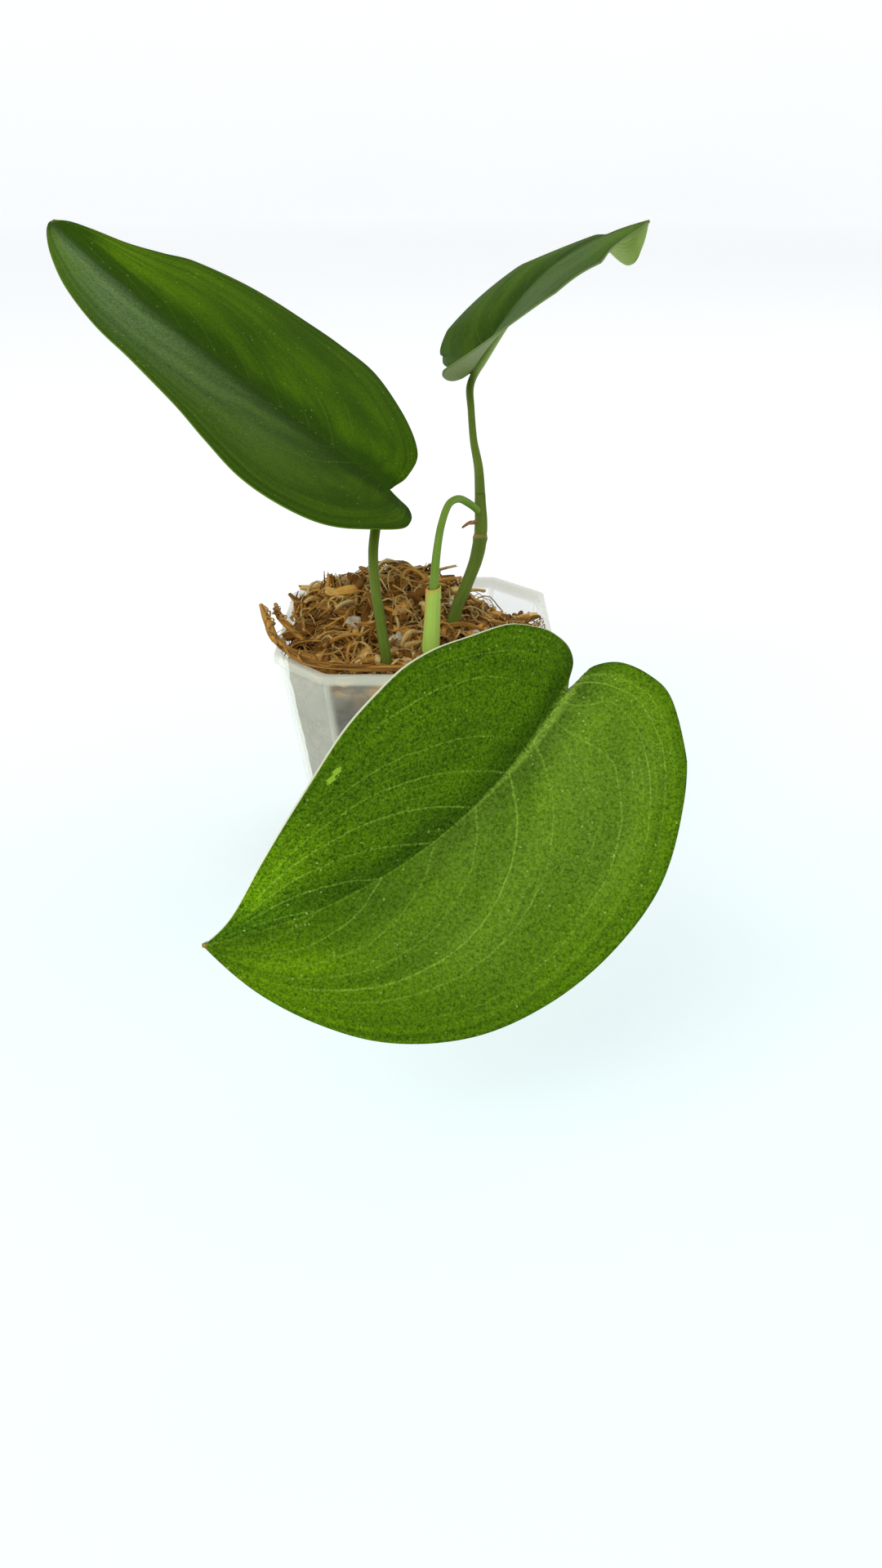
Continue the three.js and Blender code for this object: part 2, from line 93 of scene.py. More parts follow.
GRAIN_SPOTS = ((-15.5, -7), (-4.5, -13.5), (-5.5, 15.5), (14.5, -10), (-20, 15), (9.5, 3.5))
RIM_STRIPS = (
    ([(-24, 2, 65), (-30, 5.5, 68), (-33.6, 8, 70.6)], (1.3, 1.1, 0.5)),
    ([(-20.5, 4, 64), (-23.4, 9, 69.5), (-23, 12, 74.6)], (1.8, 1.5, 0.5)),
    ([(-41.3, 8.5, 67.4), (-37.6, -5, 67.5), (-34.4, -16, 67.6), (-30, -22, 67), (-24, -22, 65)],
     (0.5, 0.95, 1.05, 1, 0.9)),
    ([(-33, -19.5, 67.4), (-24.4, -30.2, 67.6), (-12, -32.6, 67.4), (-3, -31.4, 66.9), (3, -27, 64.5)],
     (0.7, 1.05, 1, 1, 0.8)),
    ([(-37.4, 8, 67.8), (-34.4, -4, 68.2), (-28, -13, 66)], (0.5, 0.9, 0.8)),
)

# Leaf blades. "midrib" is a curve, "facing" the way the upper side looks, and "outlines" each half's edge
# as distances along the midrib and away from it. "twist" turns the blade about its midrib, "rise" and "curl"
# lift and roll each half, "reach" spreads the curl, and on the first half "level_from" steadies the base and
# "droop" turns down the tip. "fan" to "spot" are for the veins and the colours, with light and shade painted
# in: "shade" sets each half's tone, partly its own and partly painted light and shade that change along the
# blade, the sheen keys give one half a painted sheen, the pale edge is a painted highlight along one margin,
# and "rib" darkens the midrib partly with painted shade
BLADE_ROWS = 150
BLADE_RINGS = 30
FAN_SHARE = 0.16
ROW_CROWDING = 1.7
STATIONS = (0, 1 / 3, 2 / 3, 1)
LEAVES = {
    "leaf_front": {
        "midrib": ((28.8, -90, 87.3), (14.3, -106.7, 69.6), (-8.1, -116.8, 57.4), (-35.8, -119, 52.2)),
        "facing": (0.18, -0.9, 0.4),
        "twist": (0, 0, 0, 0), "rise": ((30, 27, 22, 14), (31, 28, 22, 14)),
        "curl": (18, 18), "reach": 36, "level_from": 0,
        "fan": (0.25, 0.19), "veins": 11, "vein_share": 1.0,
        "painted_edge_highlight": 0.85, "bands": 0.4, "texture": (1.4, 1.75),
        "shade": ((1.25, 1.02, 0.1, 0.75), (0.97, 1.5, 0.6, 0.92)),
        "painted_sheen": (0.14, 0.01, 0.85, 0.35), "painted_sheen_tint": srgb(146, 172, 74),
        "rib": (1, (0.85, 0.8), 0.1, (0.2, 0.5)), "spot": (45.4, -22.3),
        "outlines": (
            ((0, 0), (-1.2, 0.9), (-4.2, 1.3), (-7.4, 2), (-10.4, 6), (-10.7, 12), (-8.7, 17.4), (-0.8, 24.6),
             (6.3, 29.2), (16.2, 33.9), (26.6, 35.4), (37.2, 35), (47.7, 32.5), (58.1, 26.6),
             (66.4, 19.2), (74.5, 10.1), (81.5, 0)),
            ((0, 0), (-1.2, 0.9), (-3.2, 1.3), (-5.8, 2.6), (-7.1, 5.5), (-6.9, 9.2), (-5.6, 13.3),
             (-1.5, 19.7), (5.4, 24.5), (13, 28.4), (22, 30.3), (33.2, 29.3), (43.2, 26.3), (55.5, 20.2),
             (66.3, 12.6), (75.8, 3.7), (81.5, 0)),
        ),
    },
    "leaf_left": {
        "midrib": ((-6.7, -3.9, 101.4), (-36, 3.9, 121.5), (-64.5, 16, 139.8), (-88.4, 32.5, 157.6)),
        "facing": (0.43, -0.33, 0.84),
        "twist": (0, 0, 0, 0), "rise": ((10, 10, 10, 10), (10, 10, 10, 10)),
        "curl": (10, 10), "reach": 36, "level_from": 0,
        "fan": (0.22, 0.22), "veins": 15, "vein_share": 0.3,
        "painted_edge_highlight": 0.1, "bands": 0.6, "texture": (0.6, 0.6),
        "shade": ((0.66, 0.88, 0.2, 1), (0.8, 0.96, 0.4, 1)),
        "painted_sheen": (0.46, 0, 0, 0.7), "painted_sheen_tint": srgb(132, 160, 108),
        "rib": (0, (0.9, 0.95), 6, (2, 3)),
        "outlines": (
            ((0, 0), (-3.5, 0.7), (-7, 1.8), (-9.3, 6), (-8.7, 12.2), (-1.8, 22.7), (5, 29.7),
             (13.7, 33.3), (23, 34), (33, 31.2), (44, 27.2), (57, 24.6), (68, 23.2), (81.5, 18.7),
             (92, 13), (100, 7.2), (104.5, 3), (106, 0)),
            ((0, 0), (-0.9, 3), (-1.6, 8.6), (0.3, 17.4), (9.2, 26.4), (22.6, 33.3), (34, 34.3),
             (45.4, 33.4), (65.4, 28.8), (78.5, 23), (84.6, 17.2), (91.5, 11.5), (99, 7),
             (104, 3.4), (106, 0)),
        ),
    },
    "leaf_right": {
        "midrib": ((14, 28.7, 122.5), (21, 28.2, 131.8), (30, 53.5, 148.9), (59.8, 48.3, 156.4)),
        "facing": (-0.55, -0.2, 0.81),
        "twist": (7, -2, 2, 8), "rise": ((11, 8, 7.4, -10), (32, 23, 8, -1)),
        "curl": (18, 11), "reach": 22, "level_from": 0.1, "droop": (0.85, 0.11, 90, 1),
        "fan": (0.22, 0.22), "veins": 12, "vein_share": 0.35,
        "painted_edge_highlight": 0.1, "bands": 0.4, "texture": (0.5, 0.5),
        "shade": ((0.6, 0.8, 0, 1), (0.72, 0.8, 0, 1)),
        "painted_sheen": (0.03, 0.24, 0, 0.05), "painted_sheen_tint": srgb(132, 156, 112),
        "rib": (0, (0.6, 0.2), 3, (2, 3)),
        "outlines": (
            ((0, 0), (-0.8, 3.5), (-0.6, 8.5), (0, 14), (0.8, 18), (2.2, 21.8), (4, 25.2), (6, 27.6),
             (8.2, 26.8), (10.5, 25.9), (14, 25.6), (18.2, 25.4), (27, 25), (36, 23.8), (43, 21.8),
             (48.5, 18.8), (53.5, 15.2), (58, 10.4), (61.6, 5.2), (63.4, 0)),
            ((0, 0), (-1.9, 3.2), (-3, 8.5), (-2.6, 15), (-1, 20), (2.3, 23.1), (9.5, 25.8),
             (18.2, 27.2), (27, 27.1), (36.5, 25.4), (45.2, 21.8), (52.4, 15.8), (57.9, 10),
             (61.4, 5), (63.4, 0)),
        ),
    },
}

# Stems and stalks: routes, mostly from the foot up, with the radius at even steps along each
PETIOLES = {
    "leaf_front": (
        [(8.3, -28, 46), (8.6, -28.2, 58), (9.6, -32, 68), (13.4, -47, 77.5), (20.5, -70, 86),
         (26.3, -83.5, 89)],
        (1.3, 1.4, 1.35, 1.2, 1.1, 1.15),
    ),
    "leaf_left": (
        [(-6.2, -27, 44), (-6.3, -26.8, 62), (-7.9, -24, 74.7), (-9.2, -20.5, 82.6),
         (-9.8, -15, 89.8), (-9, -8, 96.6)],
        (1.4, 1.4, 1.3, 1.25, 1.2, 1.25),
    ),
    "leaf_right": (
        [(16.1, 6.1, 97.1), (15.7, 9.8, 103.2), (14.5, 14.3, 108.9), (13.9, 20, 115.5),
         (13.7, 25.2, 119.6)],
        (1.35, 1.15, 0.95, 0.9, 1),
    ),
}
VINE = (
    [(7.2, -9.6, 48), (7.6, -9.2, 60), (10.1, -6.9, 71.5), (12.8, -4.5, 77.8), (15.1, -1.5, 83.2),
     (16.1, 1, 87.6), (16.35, 3, 91.2), (16.15, 5.3, 95.5), (16.1, 6.05, 97.4)],
    (1.8, 1.8, 1.75, 1.65, 1.5, 1.55, 1.75, 1.6, 1.35),
)
NODE_AT = 0.8
ARCH = (
    [(16.3, 4.2, 92.6), (15.4, 3.4, 94.2), (13.4, 1.5, 96.4), (10.7, -1.5, 98.5), (8.3, -5, 98.3),
     (6.5, -9.5, 95), (5.3, -15, 89.8), (4.7, -19, 83.7), (4.2, -21.4, 74.5), (3.8, -22.4, 66.4),
     (3.6, -22.8, 54)],
    (0.9, 0.95, 0.9, 0.9, 0.95, 1.05, 1.2, 1.35, 1.35, 1.35, 1.3),
)
SHEATH_SPAN = (0.55, 0.975)
SHEATH_RADIUS = 1.7
SHEATH_WALL = 0.28
SHEATH_SEAM = math.radians(58)
AERIAL_ROOT = ([(16.2, 3, 91.5), (13.2, 1.5, 91.5), (11.6, 0.5, 90.7)], (0.6, 0.5, 0.25))

# Markings, and the painted glints on the leaves
HUSK_BEHIND_WALL = srgb(72, 61, 56)
STEM_SPECKS = srgb(176, 196, 120)
LEAF_GLINTS = srgb(176, 196, 104)
SPOT_GREEN = srgb(150, 186, 52)
TIP_BROWN = srgb(150, 124, 60)

# Stage in metres, and the camera in the same frame
FLOOR_RADIUS = 2.4
CURVE_RADIUS = 0.6
CURVE_STEPS = 9
LIGHTS_AIM = Vector((0, 0, 0.09))
KEY_SIZE, KEY_PLACE = 0.8, (-0.55, -0.75, 0.8)
FILL_SIZE, FILL_PLACE = 0.9, (0.6, 0.4, 0.9)
SKY_TINT = (0.98, 0.99, 1, 1)
CAMERA_PLACE = Vector((6.3, -286, 179.5))
CAMERA_TILT = 60.5
CAMERA_LENS = 27.04


# Settings a user would change

def colour(name, what, value):
    return bpy.props.FloatVectorProperty(
        name=name, description=f"Colour of {what}", default=value, subtype="COLOR", size=3, min=0, max=1)


def number(name, text, value, **kind):
    return bpy.props.FloatProperty(name=name, description=text, default=value, min=0, **kind)


def whole_number(name, text, value):
    return bpy.props.IntProperty(name=name, description=text, default=value, min=0)


class PotSettings(bpy.types.PropertyGroup):
    plastic: colour("Plastic", "the milky clear plastic", srgb(251, 249, 229))
    wall_cover: number("Wall cover", "How much one face of the wall hides", 0.1, max=1)
    corner_cover: number("Corner cover", "How much more the cut corners hide", 0.2, max=1)
    lip_cover: number("Lip cover", "How much one face of the lip hides", 0.42, max=1)


class MixSettings(bpy.types.PropertyGroup):
    husk: colour("Husk", "the coconut husk chips", srgb(226, 166, 72))
    husk_dark: colour("Dark husk", "the wet and shaded husk", srgb(128, 82, 26))
    husk_pale: colour("Pale husk", "the dry husk fibres", srgb(236, 204, 136))
    crumbs: whole_number("Crumbs", "How many small crumbs lie on the mix", 260)
    curls: whole_number("Curls", "How many curled fibres lie on the mix", 620)
    hairs: whole_number("Hairs", "How many fine fibres stick out of the mix", 230)
    perlite: colour("Perlite", "the pale grains", srgb(216, 204, 176))


class LeafSettings(bpy.types.PropertyGroup):
    green: colour("Green", "the blade's upper side", srgb(79, 117, 0))
    deep_green: colour("Deep green", "the blade between the veins and towards the margin", srgb(51, 84, 0))
    tip_green: colour("Tip green", "the blade towards its tip", srgb(112, 152, 0))
    vein: colour("Veins", "the fine side veins", srgb(132, 164, 52))
    underside: colour("Underside", "the blade's lower side", srgb(150, 172, 90))
    # The colour of the painted highlight along one margin of each blade
    edge: colour("Edge", "the thin pale edge", srgb(236, 236, 200))
    thickness: number("Thickness", "Thickness of the blade at its midrib", 0.7 * MM, unit="LENGTH")
    rounding: number("Rounding", "Rounding of the blade's fold at the midrib", 1.3 * MM, unit="LENGTH")


class StemSettings(bpy.types.PropertyGroup):
    stem: colour("Stem", "the vine and stalks", srgb(98, 118, 32))
    shoot: colour("Shoot", "the arched shoot", srgb(116, 150, 48))
    sheath: colour("Sheath", "the sheath round the shoot", srgb(166, 196, 84))
    papery: colour("Papery edge", "the sheath's dry edge", srgb(206, 150, 74))
    root: colour("Aerial root", "the aerial root", srgb(172, 122, 80))


class StageSettings(bpy.types.PropertyGroup):
    floor: colour("Floor", "the floor at the back and of its curve", (0.9, 0.918, 0.928))
    # Painted shade: the floor in front is darker and bluer than at the back
    floor_front: colour("Floor in front", "the floor in front of the pot", (0.76, 0.865, 0.895))
    glow: number("Glow", "How brightly the floor is lit from below", 0.37)
    sky: number("Sky", "Strength of the even light", 0.6)
    key: number("Key", "Power of the large light overhead", 5, unit="POWER")
    fill: number("Fill", "Power of the soft light behind", 1.5, unit="POWER")


class PlantSettings(bpy.types.PropertyGroup):
    pot: bpy.props.PointerProperty(type=PotSettings)
    mix: bpy.props.PointerProperty(type=MixSettings)
    leaf: bpy.props.PointerProperty(type=LeafSettings)
    stem: bpy.props.PointerProperty(type=StemSettings)
    stage: bpy.props.PointerProperty(type=StageSettings)


# Shader maths

def arithmetic(operation, reflected=False):
    """A method of Field that adds one Math node."""
    def method(field, *others):
        values = (*others, field) if reflected else (field, *others)
        return field.shader.node("Math", {"operation": operation}, dict(enumerate(values)))
    return method


class Field:
    """A socket of a material that sums and products can be written with."""

    def __init__(self, shader, socket):
        self.shader, self.socket = shader, socket

    __add__ = __radd__ = arithmetic("ADD")
    __sub__, __rsub__ = arithmetic("SUBTRACT"), arithmetic("SUBTRACT", reflected=True)
    __mul__ = __rmul__ = arithmetic("MULTIPLY")
    __truediv__, __pow__ = arithmetic("DIVIDE"), arithmetic("POWER")
    __abs__, at_most, at_least = arithmetic("ABSOLUTE"), arithmetic("MINIMUM"), arithmetic("MAXIMUM")
    fraction, whole = arithmetic("FRACT"), arithmetic("FLOOR")

    def smooth(self, low, high):
        """0 below low and 1 above high, with an eased step between, or the other way round."""
        sockets = {0: self, 1: low, 2: high} if low < high else {0: self, 1: high, 2: low, 3: 1, 4: 0}
        return self.shader.node("MapRange", {"interpolation_type": "SMOOTHSTEP"}, sockets)


class Shader:
    """One material made of nodes."""

    def __init__(self, name, **constants):
        self.material = bpy.data.materials.new(name)
        self.material.use_nodes = True
        self.tree = self.material.node_tree
        self.set(**constants)

    def put(self, socket, value):
        if isinstance(value, Field):
            self.tree.links.new(value.socket, socket)
        elif hasattr(value, "__len__") and len(value) == 3 and len(socket.default_value) == 4:
            socket.default_value = (*value, 1)
        else:
            socket.default_value = value

    def set(self, **sockets):
        surface = self.tree.nodes["Principled BSDF"]
        for key, value in sockets.items():
            self.put(surface.inputs[key.replace("_", " ").title().replace("Ior", "IOR")], value)

    def node(self, kind, settings=None, sockets=None, output=0):
        made = self.tree.nodes.new(f"ShaderNode{kind}")
        for key, value in (settings or {}).items():
            setattr(made, key, value)
        for key, value in (sockets or {}).items():
            self.put(made.inputs[key], value)
        return Field(self, made.outputs[output])

    def mix(self, first, second, factor, blend="MIX"):
        settings = {"data_type": "RGBA", "blend_type": blend}
        return self.node("Mix", settings, {0: factor, 6: first, 7: second}, 2)

    def brighten(self, tint, amount):
        """A colour times a field of numbers."""
        grey = self.node("CombineColor", {}, {0: amount, 1: amount, 2: amount})
        return self.mix(tint, grey, 1, "MULTIPLY")

    def place(self):
        return self.node("TexCoord", output="Object")

    def parts(self, vector, count):
        return [self.node("SeparateXYZ", {}, {0: vector}, i) for i in range(count)]

    def uv(self, name):
        """The two coordinates of a UV map."""
        return self.parts(self.node("UVMap", {"uv_map": name}), 2)

    def attribute(self, name):
        return self.node("Attribute", {"attribute_name": name}, output="Fac")

    def vector(self, operation, *values):
        return self.node("VectorMath", {"operation": operation}, dict(enumerate(values)))

    def noise(self, scale, detail=3, roughness=0.55, vector=None, output=0):
        sockets = {"Vector": vector or self.place(), "Scale": scale, "Detail": detail, "Roughness": roughness}
        return self.node("TexNoise", {}, sockets, output)

    def streaks(self, x, y, z=0.0, detail=3, roughness=0.6):
        """Noise over coordinates of the surface's own."""
        return self.noise(1, detail, roughness, self.node("CombineXYZ", {}, {0: x, 1: y, 2: z}))

    def cells(self, scale, feature="F1", vector=None, output="Distance"):
        sockets = {"Vector": vector or self.place(), "Scale": scale}
        return self.node("TexVoronoi", {"feature": feature}, sockets, output)

    def done(self, relief=None, depth=0, **sockets):
        """Sets what varies over the surface. Relief from 0 to 1 stands for "depth" millimetres."""
        if relief:
            bump = {"Distance": depth * MM, "Height": relief}
            sockets["normal"] = self.node("Bump", {}, bump, "Normal")
        self.set(**sockets)
        return self.material


# Curves and meshes, with numpy in millimetres

def smoothstep(x):
    x = np.clip(x, 0, 1)
    return x * x * (3 - 2 * x)


def unit(v):
    return v / np.linalg.norm(v, axis=-1, keepdims=True)


def lengths(path):
    """The length of each step along a path."""
    return np.linalg.norm(np.diff(path, axis=0), axis=1)


def evenly(path, steps):
    """The points of a dense path, taken again at even distances."""
    run = np.concatenate([[0], np.cumsum(lengths(path))])
    at = np.linspace(0, run[-1], steps + 1)
    return np.stack([np.interp(at, run, part) for part in path.T], axis=1)


def route(points, steps, centripetal=True):
    """A smooth curve through points: centripetal for stalks, uniform for outlines."""
    p = np.array(points, float)
    ends = (2 * p[0] - p[1], 2 * p[-1] - p[-2]) if centripetal else (p[0], p[-1])
    p = np.vstack([ends[0], p, ends[1]])
    w = np.linspace(0, 1, 40, endpoint=False)[:, None]
    dense = []
    for a, b, c, d in zip(p, p[1:], p[2:], p[3:]):
        before, own, after = lengths([a, b, c, d]) ** 0.5 if centripetal else (1, 1, 1)
        start = ((b - a) / before - (c - a) / (before + own) + (c - b) / own) * own
        end = ((c - b) / own - (d - b) / (own + after) + (d - c) / after) * own
        cubic = (2 * b - 2 * c + start + end) * w**3 + (3 * c - 3 * b - 2 * start - end) * w**2
        dense.append(cubic + start * w + b)
    return evenly(np.vstack([*dense, p[-2:-1]]), steps)


def frames_along(path):
    """Two directions across a path at each of its points, turned as little as possible."""
    along = unit(np.gradient(path, axis=0))
    side = [unit(np.cross(along[0], (0, 0, 1) if abs(along[0][2]) < 0.9 else (1, 0, 0)))]
    for t in along[1:]:
        side.append(unit(side[-1] - t * (t @ side[-1])))
    return np.array(side), np.cross(along, side)


def lofted(rings):
    """Vertices and faces through rings of equal count, closed by a face at each end."""
    count, last = len(rings[0]), len(rings) - 1
    faces = [(r * count + i, r * count + j, (r + 1) * count + j, (r + 1) * count + i)
             for r in range(last) for i, j in zip(range(count), [*range(1, count), 0])]
    faces += [tuple(reversed(range(count))), tuple(range(last * count, (last + 1) * count))]
    return np.concatenate(rings), faces


def tube(points, radii, steps, sides, ridges=0.0, flat=1.0, seed=0):
    """A round stalk along a route, with its UV: u round it and v along it."""
    path = route(points, steps)
    side, up = (direction[:, None] for direction in frames_along(path))
    v = np.linspace(0, 1, steps + 1)
    radius = np.interp(v, np.linspace(0, 1, len(radii)), radii)[:, None, None]
    turn = np.linspace(0, 2 * np.pi, sides, endpoint=False)[:, None]
    wave = 1 + ridges * np.sin(5 * turn + seed)
    rings = path[:, None] + radius * wave * (np.cos(turn) * side + flat * np.sin(turn) * up)
    uv = np.stack(np.meshgrid(np.arange(sides) / sides, v), axis=-1).reshape(-1, 2)
    return *lofted(rings), uv


def joined(pieces):
    """Several (vertices, faces, uv, tint) made into one."""
    vertices, polygons, maps, tints = zip(*pieces)
    starts = np.cumsum([0, *map(len, vertices)]).tolist()
    faces = [tuple(i + start for i in face) for group, start in zip(polygons, starts) for face in group]
    tints = [np.full(len(points), tint) for points, tint in zip(vertices, tints)]
    return np.vstack(vertices), faces, np.vstack(maps), np.concatenate(tints)


def write_values(mesh, maps, numbers):
    """Stores a UV map or a number by name, from a value for each vertex."""
    corners = np.empty(len(mesh.loops), int)
    mesh.loops.foreach_get("vertex_index", corners)
    for name, values in maps.items():
        mesh.uv_layers.new(name=name).data.foreach_set("uv", values[corners].ravel())
    for name, values in numbers.items():
        layer = mesh.attributes.new(name, "FLOAT", "POINT")
        layer.data.foreach_set("value", np.asarray(values, np.float32))


def object_from(name, vertices, faces, uv=None, tint=None):
    """A mesh object in metres."""
    mesh = bpy.data.meshes.new(name)
    mesh.from_pydata((vertices * MM).tolist(), [], faces)
    write_values(mesh, {} if uv is None else {"strip": uv}, {} if tint is None else {"tint": tint})
    made = bpy.data.objects.new(name, mesh)
    bpy.context.scene.collection.objects.link(made)
    return made


def added(primitive, name, **settings):
    """Adds a primitive. Returns it with its vertices' places."""
    bpy.ops.object.select_all(action="DESELECT")
    primitive(**settings)
    bpy.context.object.name = name
    return bpy.context.object, np.array([vertex.co for vertex in bpy.context.object.data.vertices])


def move_vertices(piece, points):
    piece.data.vertices.foreach_set("co", (points * MM).ravel())


def turned(points, turns):
    return points @ np.array(Euler(turns).to_matrix()).T


def lumps(points, scale=1):
    """Smooth noise at each point."""
    return np.array([noise.noise(Vector(p) * scale) for p in points])


def alone(piece):
    bpy.ops.object.select_all(action="DESELECT")
    bpy.context.view_layer.objects.active = piece
    piece.select_set(True)


def apply_modifier(piece, kind, **settings):
    alone(piece)
    modifier = piece.modifiers.new(kind.title(), kind)
    for key, value in settings.items():
        setattr(modifier, key, value)
    if "FINISHED" not in bpy.ops.object.modifier_apply(modifier=modifier.name):
        raise RuntimeError(f"{kind} could not be applied to {piece.name}")


def edit_all(piece, *steps):
    """Runs edit-mode operators on the whole of a piece."""
    alone(piece)
    bpy.ops.object.mode_set(mode="EDIT")
    bpy.ops.mesh.select_all(action="SELECT")
    for operator, settings in steps:
        operator(**settings)
    bpy.ops.object.mode_set(mode="OBJECT")


def finished(piece, slot, node, *materials, angle=None):
    """Gives a piece its materials, smooth shading and place in the frame."""
    for material in materials:
        piece.data.materials.append(material)
    piece.data.shade_smooth()
    if angle:
        alone(piece)
        bpy.ops.object.shade_smooth_by_angle(angle=math.radians(angle))
    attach(piece, "root")
    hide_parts(node)


# Pot

def square_ring(half, z, rounding=CORNER_ROUNDING, cuts=1):
    """A square with cut corners, each of its eight corners rounded by an arc of four points."""
    flat = half * (1 - CORNER_SHARE)
    corners = np.array([(flat, -half), (half, -flat), (half, flat), (flat, half),
                        (-flat, half), (-half, flat), (-half, -flat), (-flat, -half)])
    before = corners + rounding * unit(np.roll(corners, 1, axis=0) - corners)
    after = corners + rounding * unit(np.roll(corners, -1, axis=0) - corners)
    arc = [(1 - w) ** 2 * before + 2 * w * (1 - w) * corners + w**2 * after for w in np.linspace(0, 1, 4)]
    side = [after + (np.roll(before, -1, axis=0) - after) * c / cuts for c in range(1, cuts)]
    ring = np.stack(arc + side, axis=1).reshape(-1, 2)
    return np.column_stack([ring, np.full(len(ring), z)])


def wall_half(z):
    return FOOT_HALF + (RIM_HALF - LIP_WIDTH + WALL - FOOT_HALF) * z / POT_HEIGHT


def quarter_round(half, radius, start, points):
    """The profile of one of the lip's two upper edges, about a middle at "half"."""
    angles = np.linspace(start, start + math.pi / 2, points)
    return [(half + radius * math.cos(a), POT_HEIGHT - radius + radius * math.sin(a)) for a in angles]


def pot_plastic(settings):
    """Clear plastic, milkier in the cut corners and the lip, with faint clouds and moulding rings."""
    shader = Shader("milky clear plastic", specular_ior_level=0.4)
    cloud = shader.noise(45).smooth(0.35, 0.7)
    along_x, along_y, height = shader.parts(shader.place(), 3)
    x, y = abs(along_x), abs(along_y)
    past = (x + y) / (2 - CORNER_SHARE) - x.at_least(y)
    # Painted light: the cut corners hide less towards the back, so the back corners look lit from behind
    corner = past.smooth(-0.4 * MM, 0.4 * MM) * (1 - along_y.smooth(0, 20 * MM) * 0.6)
    crease = abs(past).smooth(0.8 * MM, 0.2 * MM)
    lip = height.smooth((POT_HEIGHT - LIP_DEPTH - 1) * MM, (POT_HEIGHT - LIP_DEPTH) * MM)
    foot = height.smooth(5 * MM, 1 * MM)
    ring = abs(shader.cells(28) - 0.42).smooth(0.035, 0.0) * shader.noise(30).smooth(0.45, 0.6)
    wall = settings.wall_cover * (0.7 + cloud * 0.6) + corner * settings.corner_cover
    wall = wall + ring * 0.12 + crease * 0.15 + foot * 0.1
    return shader.done(
        shader.noise(90, 2), 0.25,
        base_color=shader.brighten(settings.plastic, 0.93 + cloud * 0.07 - ring * 0.2),
        alpha=wall + lip * (settings.lip_cover - wall),
        roughness=0.18 + shader.noise(400, 2) * 0.16)


class OBJECT_OT_clear_pot(bpy.types.Operator):
    """Add the thin square pot of milky clear plastic"""

    bl_idname = "object.clear_pot"
    bl_label = "Clear pot"

    def execute(self, context):
        lip_foot = POT_HEIGHT - LIP_DEPTH
        profile = [(FOOT_HALF - 1, 0), (FOOT_HALF - 0.35, 0.15), (FOOT_HALF, 0.8)]
        profile += [(wall_half(z), z) for z in np.linspace(4, lip_foot - 1.4, 9)]
        profile += [(wall_half(lip_foot) - 0.05, lip_foot - 0.8), (RIM_HALF - 0.5, lip_foot - 0.05)]
        profile += [(RIM_HALF - 0.12, lip_foot + 0.15), (RIM_HALF, lip_foot + 0.55)]
        profile += quarter_round(RIM_HALF - LIP_OUTER_ROUNDING, LIP_OUTER_ROUNDING, 0, 5)
        profile += quarter_round(
            RIM_HALF - LIP_WIDTH + LIP_INNER_ROUNDING, LIP_INNER_ROUNDING, math.pi / 2, 4)
        profile += [(wall_half(z) - WALL, z) for z in np.linspace(lip_foot, FLOOR + 1, 8)]
        profile.append((wall_half(FLOOR) - WALL - 0.8, FLOOR))
        pot = object_from("nursery_pot", *lofted([square_ring(half, z, cuts=8) for half, z in profile]))
        for x, y in ((-1, -1), (-1, 1), (1, -1), (1, 1)):
            drill, _ = added(
                bpy.ops.mesh.primitive_cylinder_add, "drill", vertices=32, radius=DRAIN_RADIUS * MM,
                depth=4 * FLOOR * MM, location=(x * DRAIN_OFFSET * MM, y * DRAIN_OFFSET * MM, 0))
            apply_modifier(pot, "BOOLEAN", operation="DIFFERENCE", object=drill, solver="EXACT")
            bpy.data.objects.remove(drill)
        finished(pot, "clear_plastic", "pot", pot_plastic(context.scene.plant.pot), angle=35)
        return {"FINISHED"}


# Potting mix

def seeded(seed):
    """Even random numbers between two limits, from a whole-number seed."""
    limit, state = 0xFFFFFFFF, seed

    def draw(low, high):
        nonlocal state
        state = (state + 0x6D2B79F5) & limit
        t = ((state ^ (state >> 15)) * (state | 1)) & limit
        t ^= (t + (((t ^ (t >> 7)) * (t | 61)) & limit)) & limit
        return low + (high - low) * (t ^ (t >> 14)) / (limit + 1)

    return draw


def strewn(draw, count, corner, *ranges):
    """The count, the place and a draw from each range, for each piece that isn't past a corner."""
    for i in range(count):
        x, y, *numbers = [draw(*limits) for limits in (*[(-STREWN_HALF, STREWN_HALF)] * 2, *ranges)]
        if abs(x) + abs(y) < corner * STREWN_HALF:
            yield i, x, y, *numbers


def mix_height(x, y):
    mound = sum(height * np.exp(-((x - at_x) ** 2 + (y - at_y) ** 2) / (2 * spread**2))
                for at_x, at_y, height, spread in MOUNDS)
    ripple = 0.7 * np.sin(0.55 * x + 1.1) * np.cos(0.47 * y - 0.6)
    return MIX_EDGE + mound + ripple + 0.4 * np.sin(0.9 * y - 0.4 * x)


def kept_inside(points):
    """Points drawn in to clear the pot's inner wall, and on the right the lip as well."""
    x, y, z = points.T
    reach = np.maximum(np.maximum(abs(x), abs(y)), (abs(x) + abs(y)) / (2 - CORNER_SHARE))
    above = np.where(x > 0, RIM_HALF - LIP_WIDTH, 99)
    room = np.where(z < POT_HEIGHT + 0.4, wall_half(np.minimum(z, POT_HEIGHT)) - WALL - GAP, above)
    shrink = np.minimum(1, room / np.maximum(reach, 1))
    return np.stack([x * shrink, y * shrink, z], axis=1)


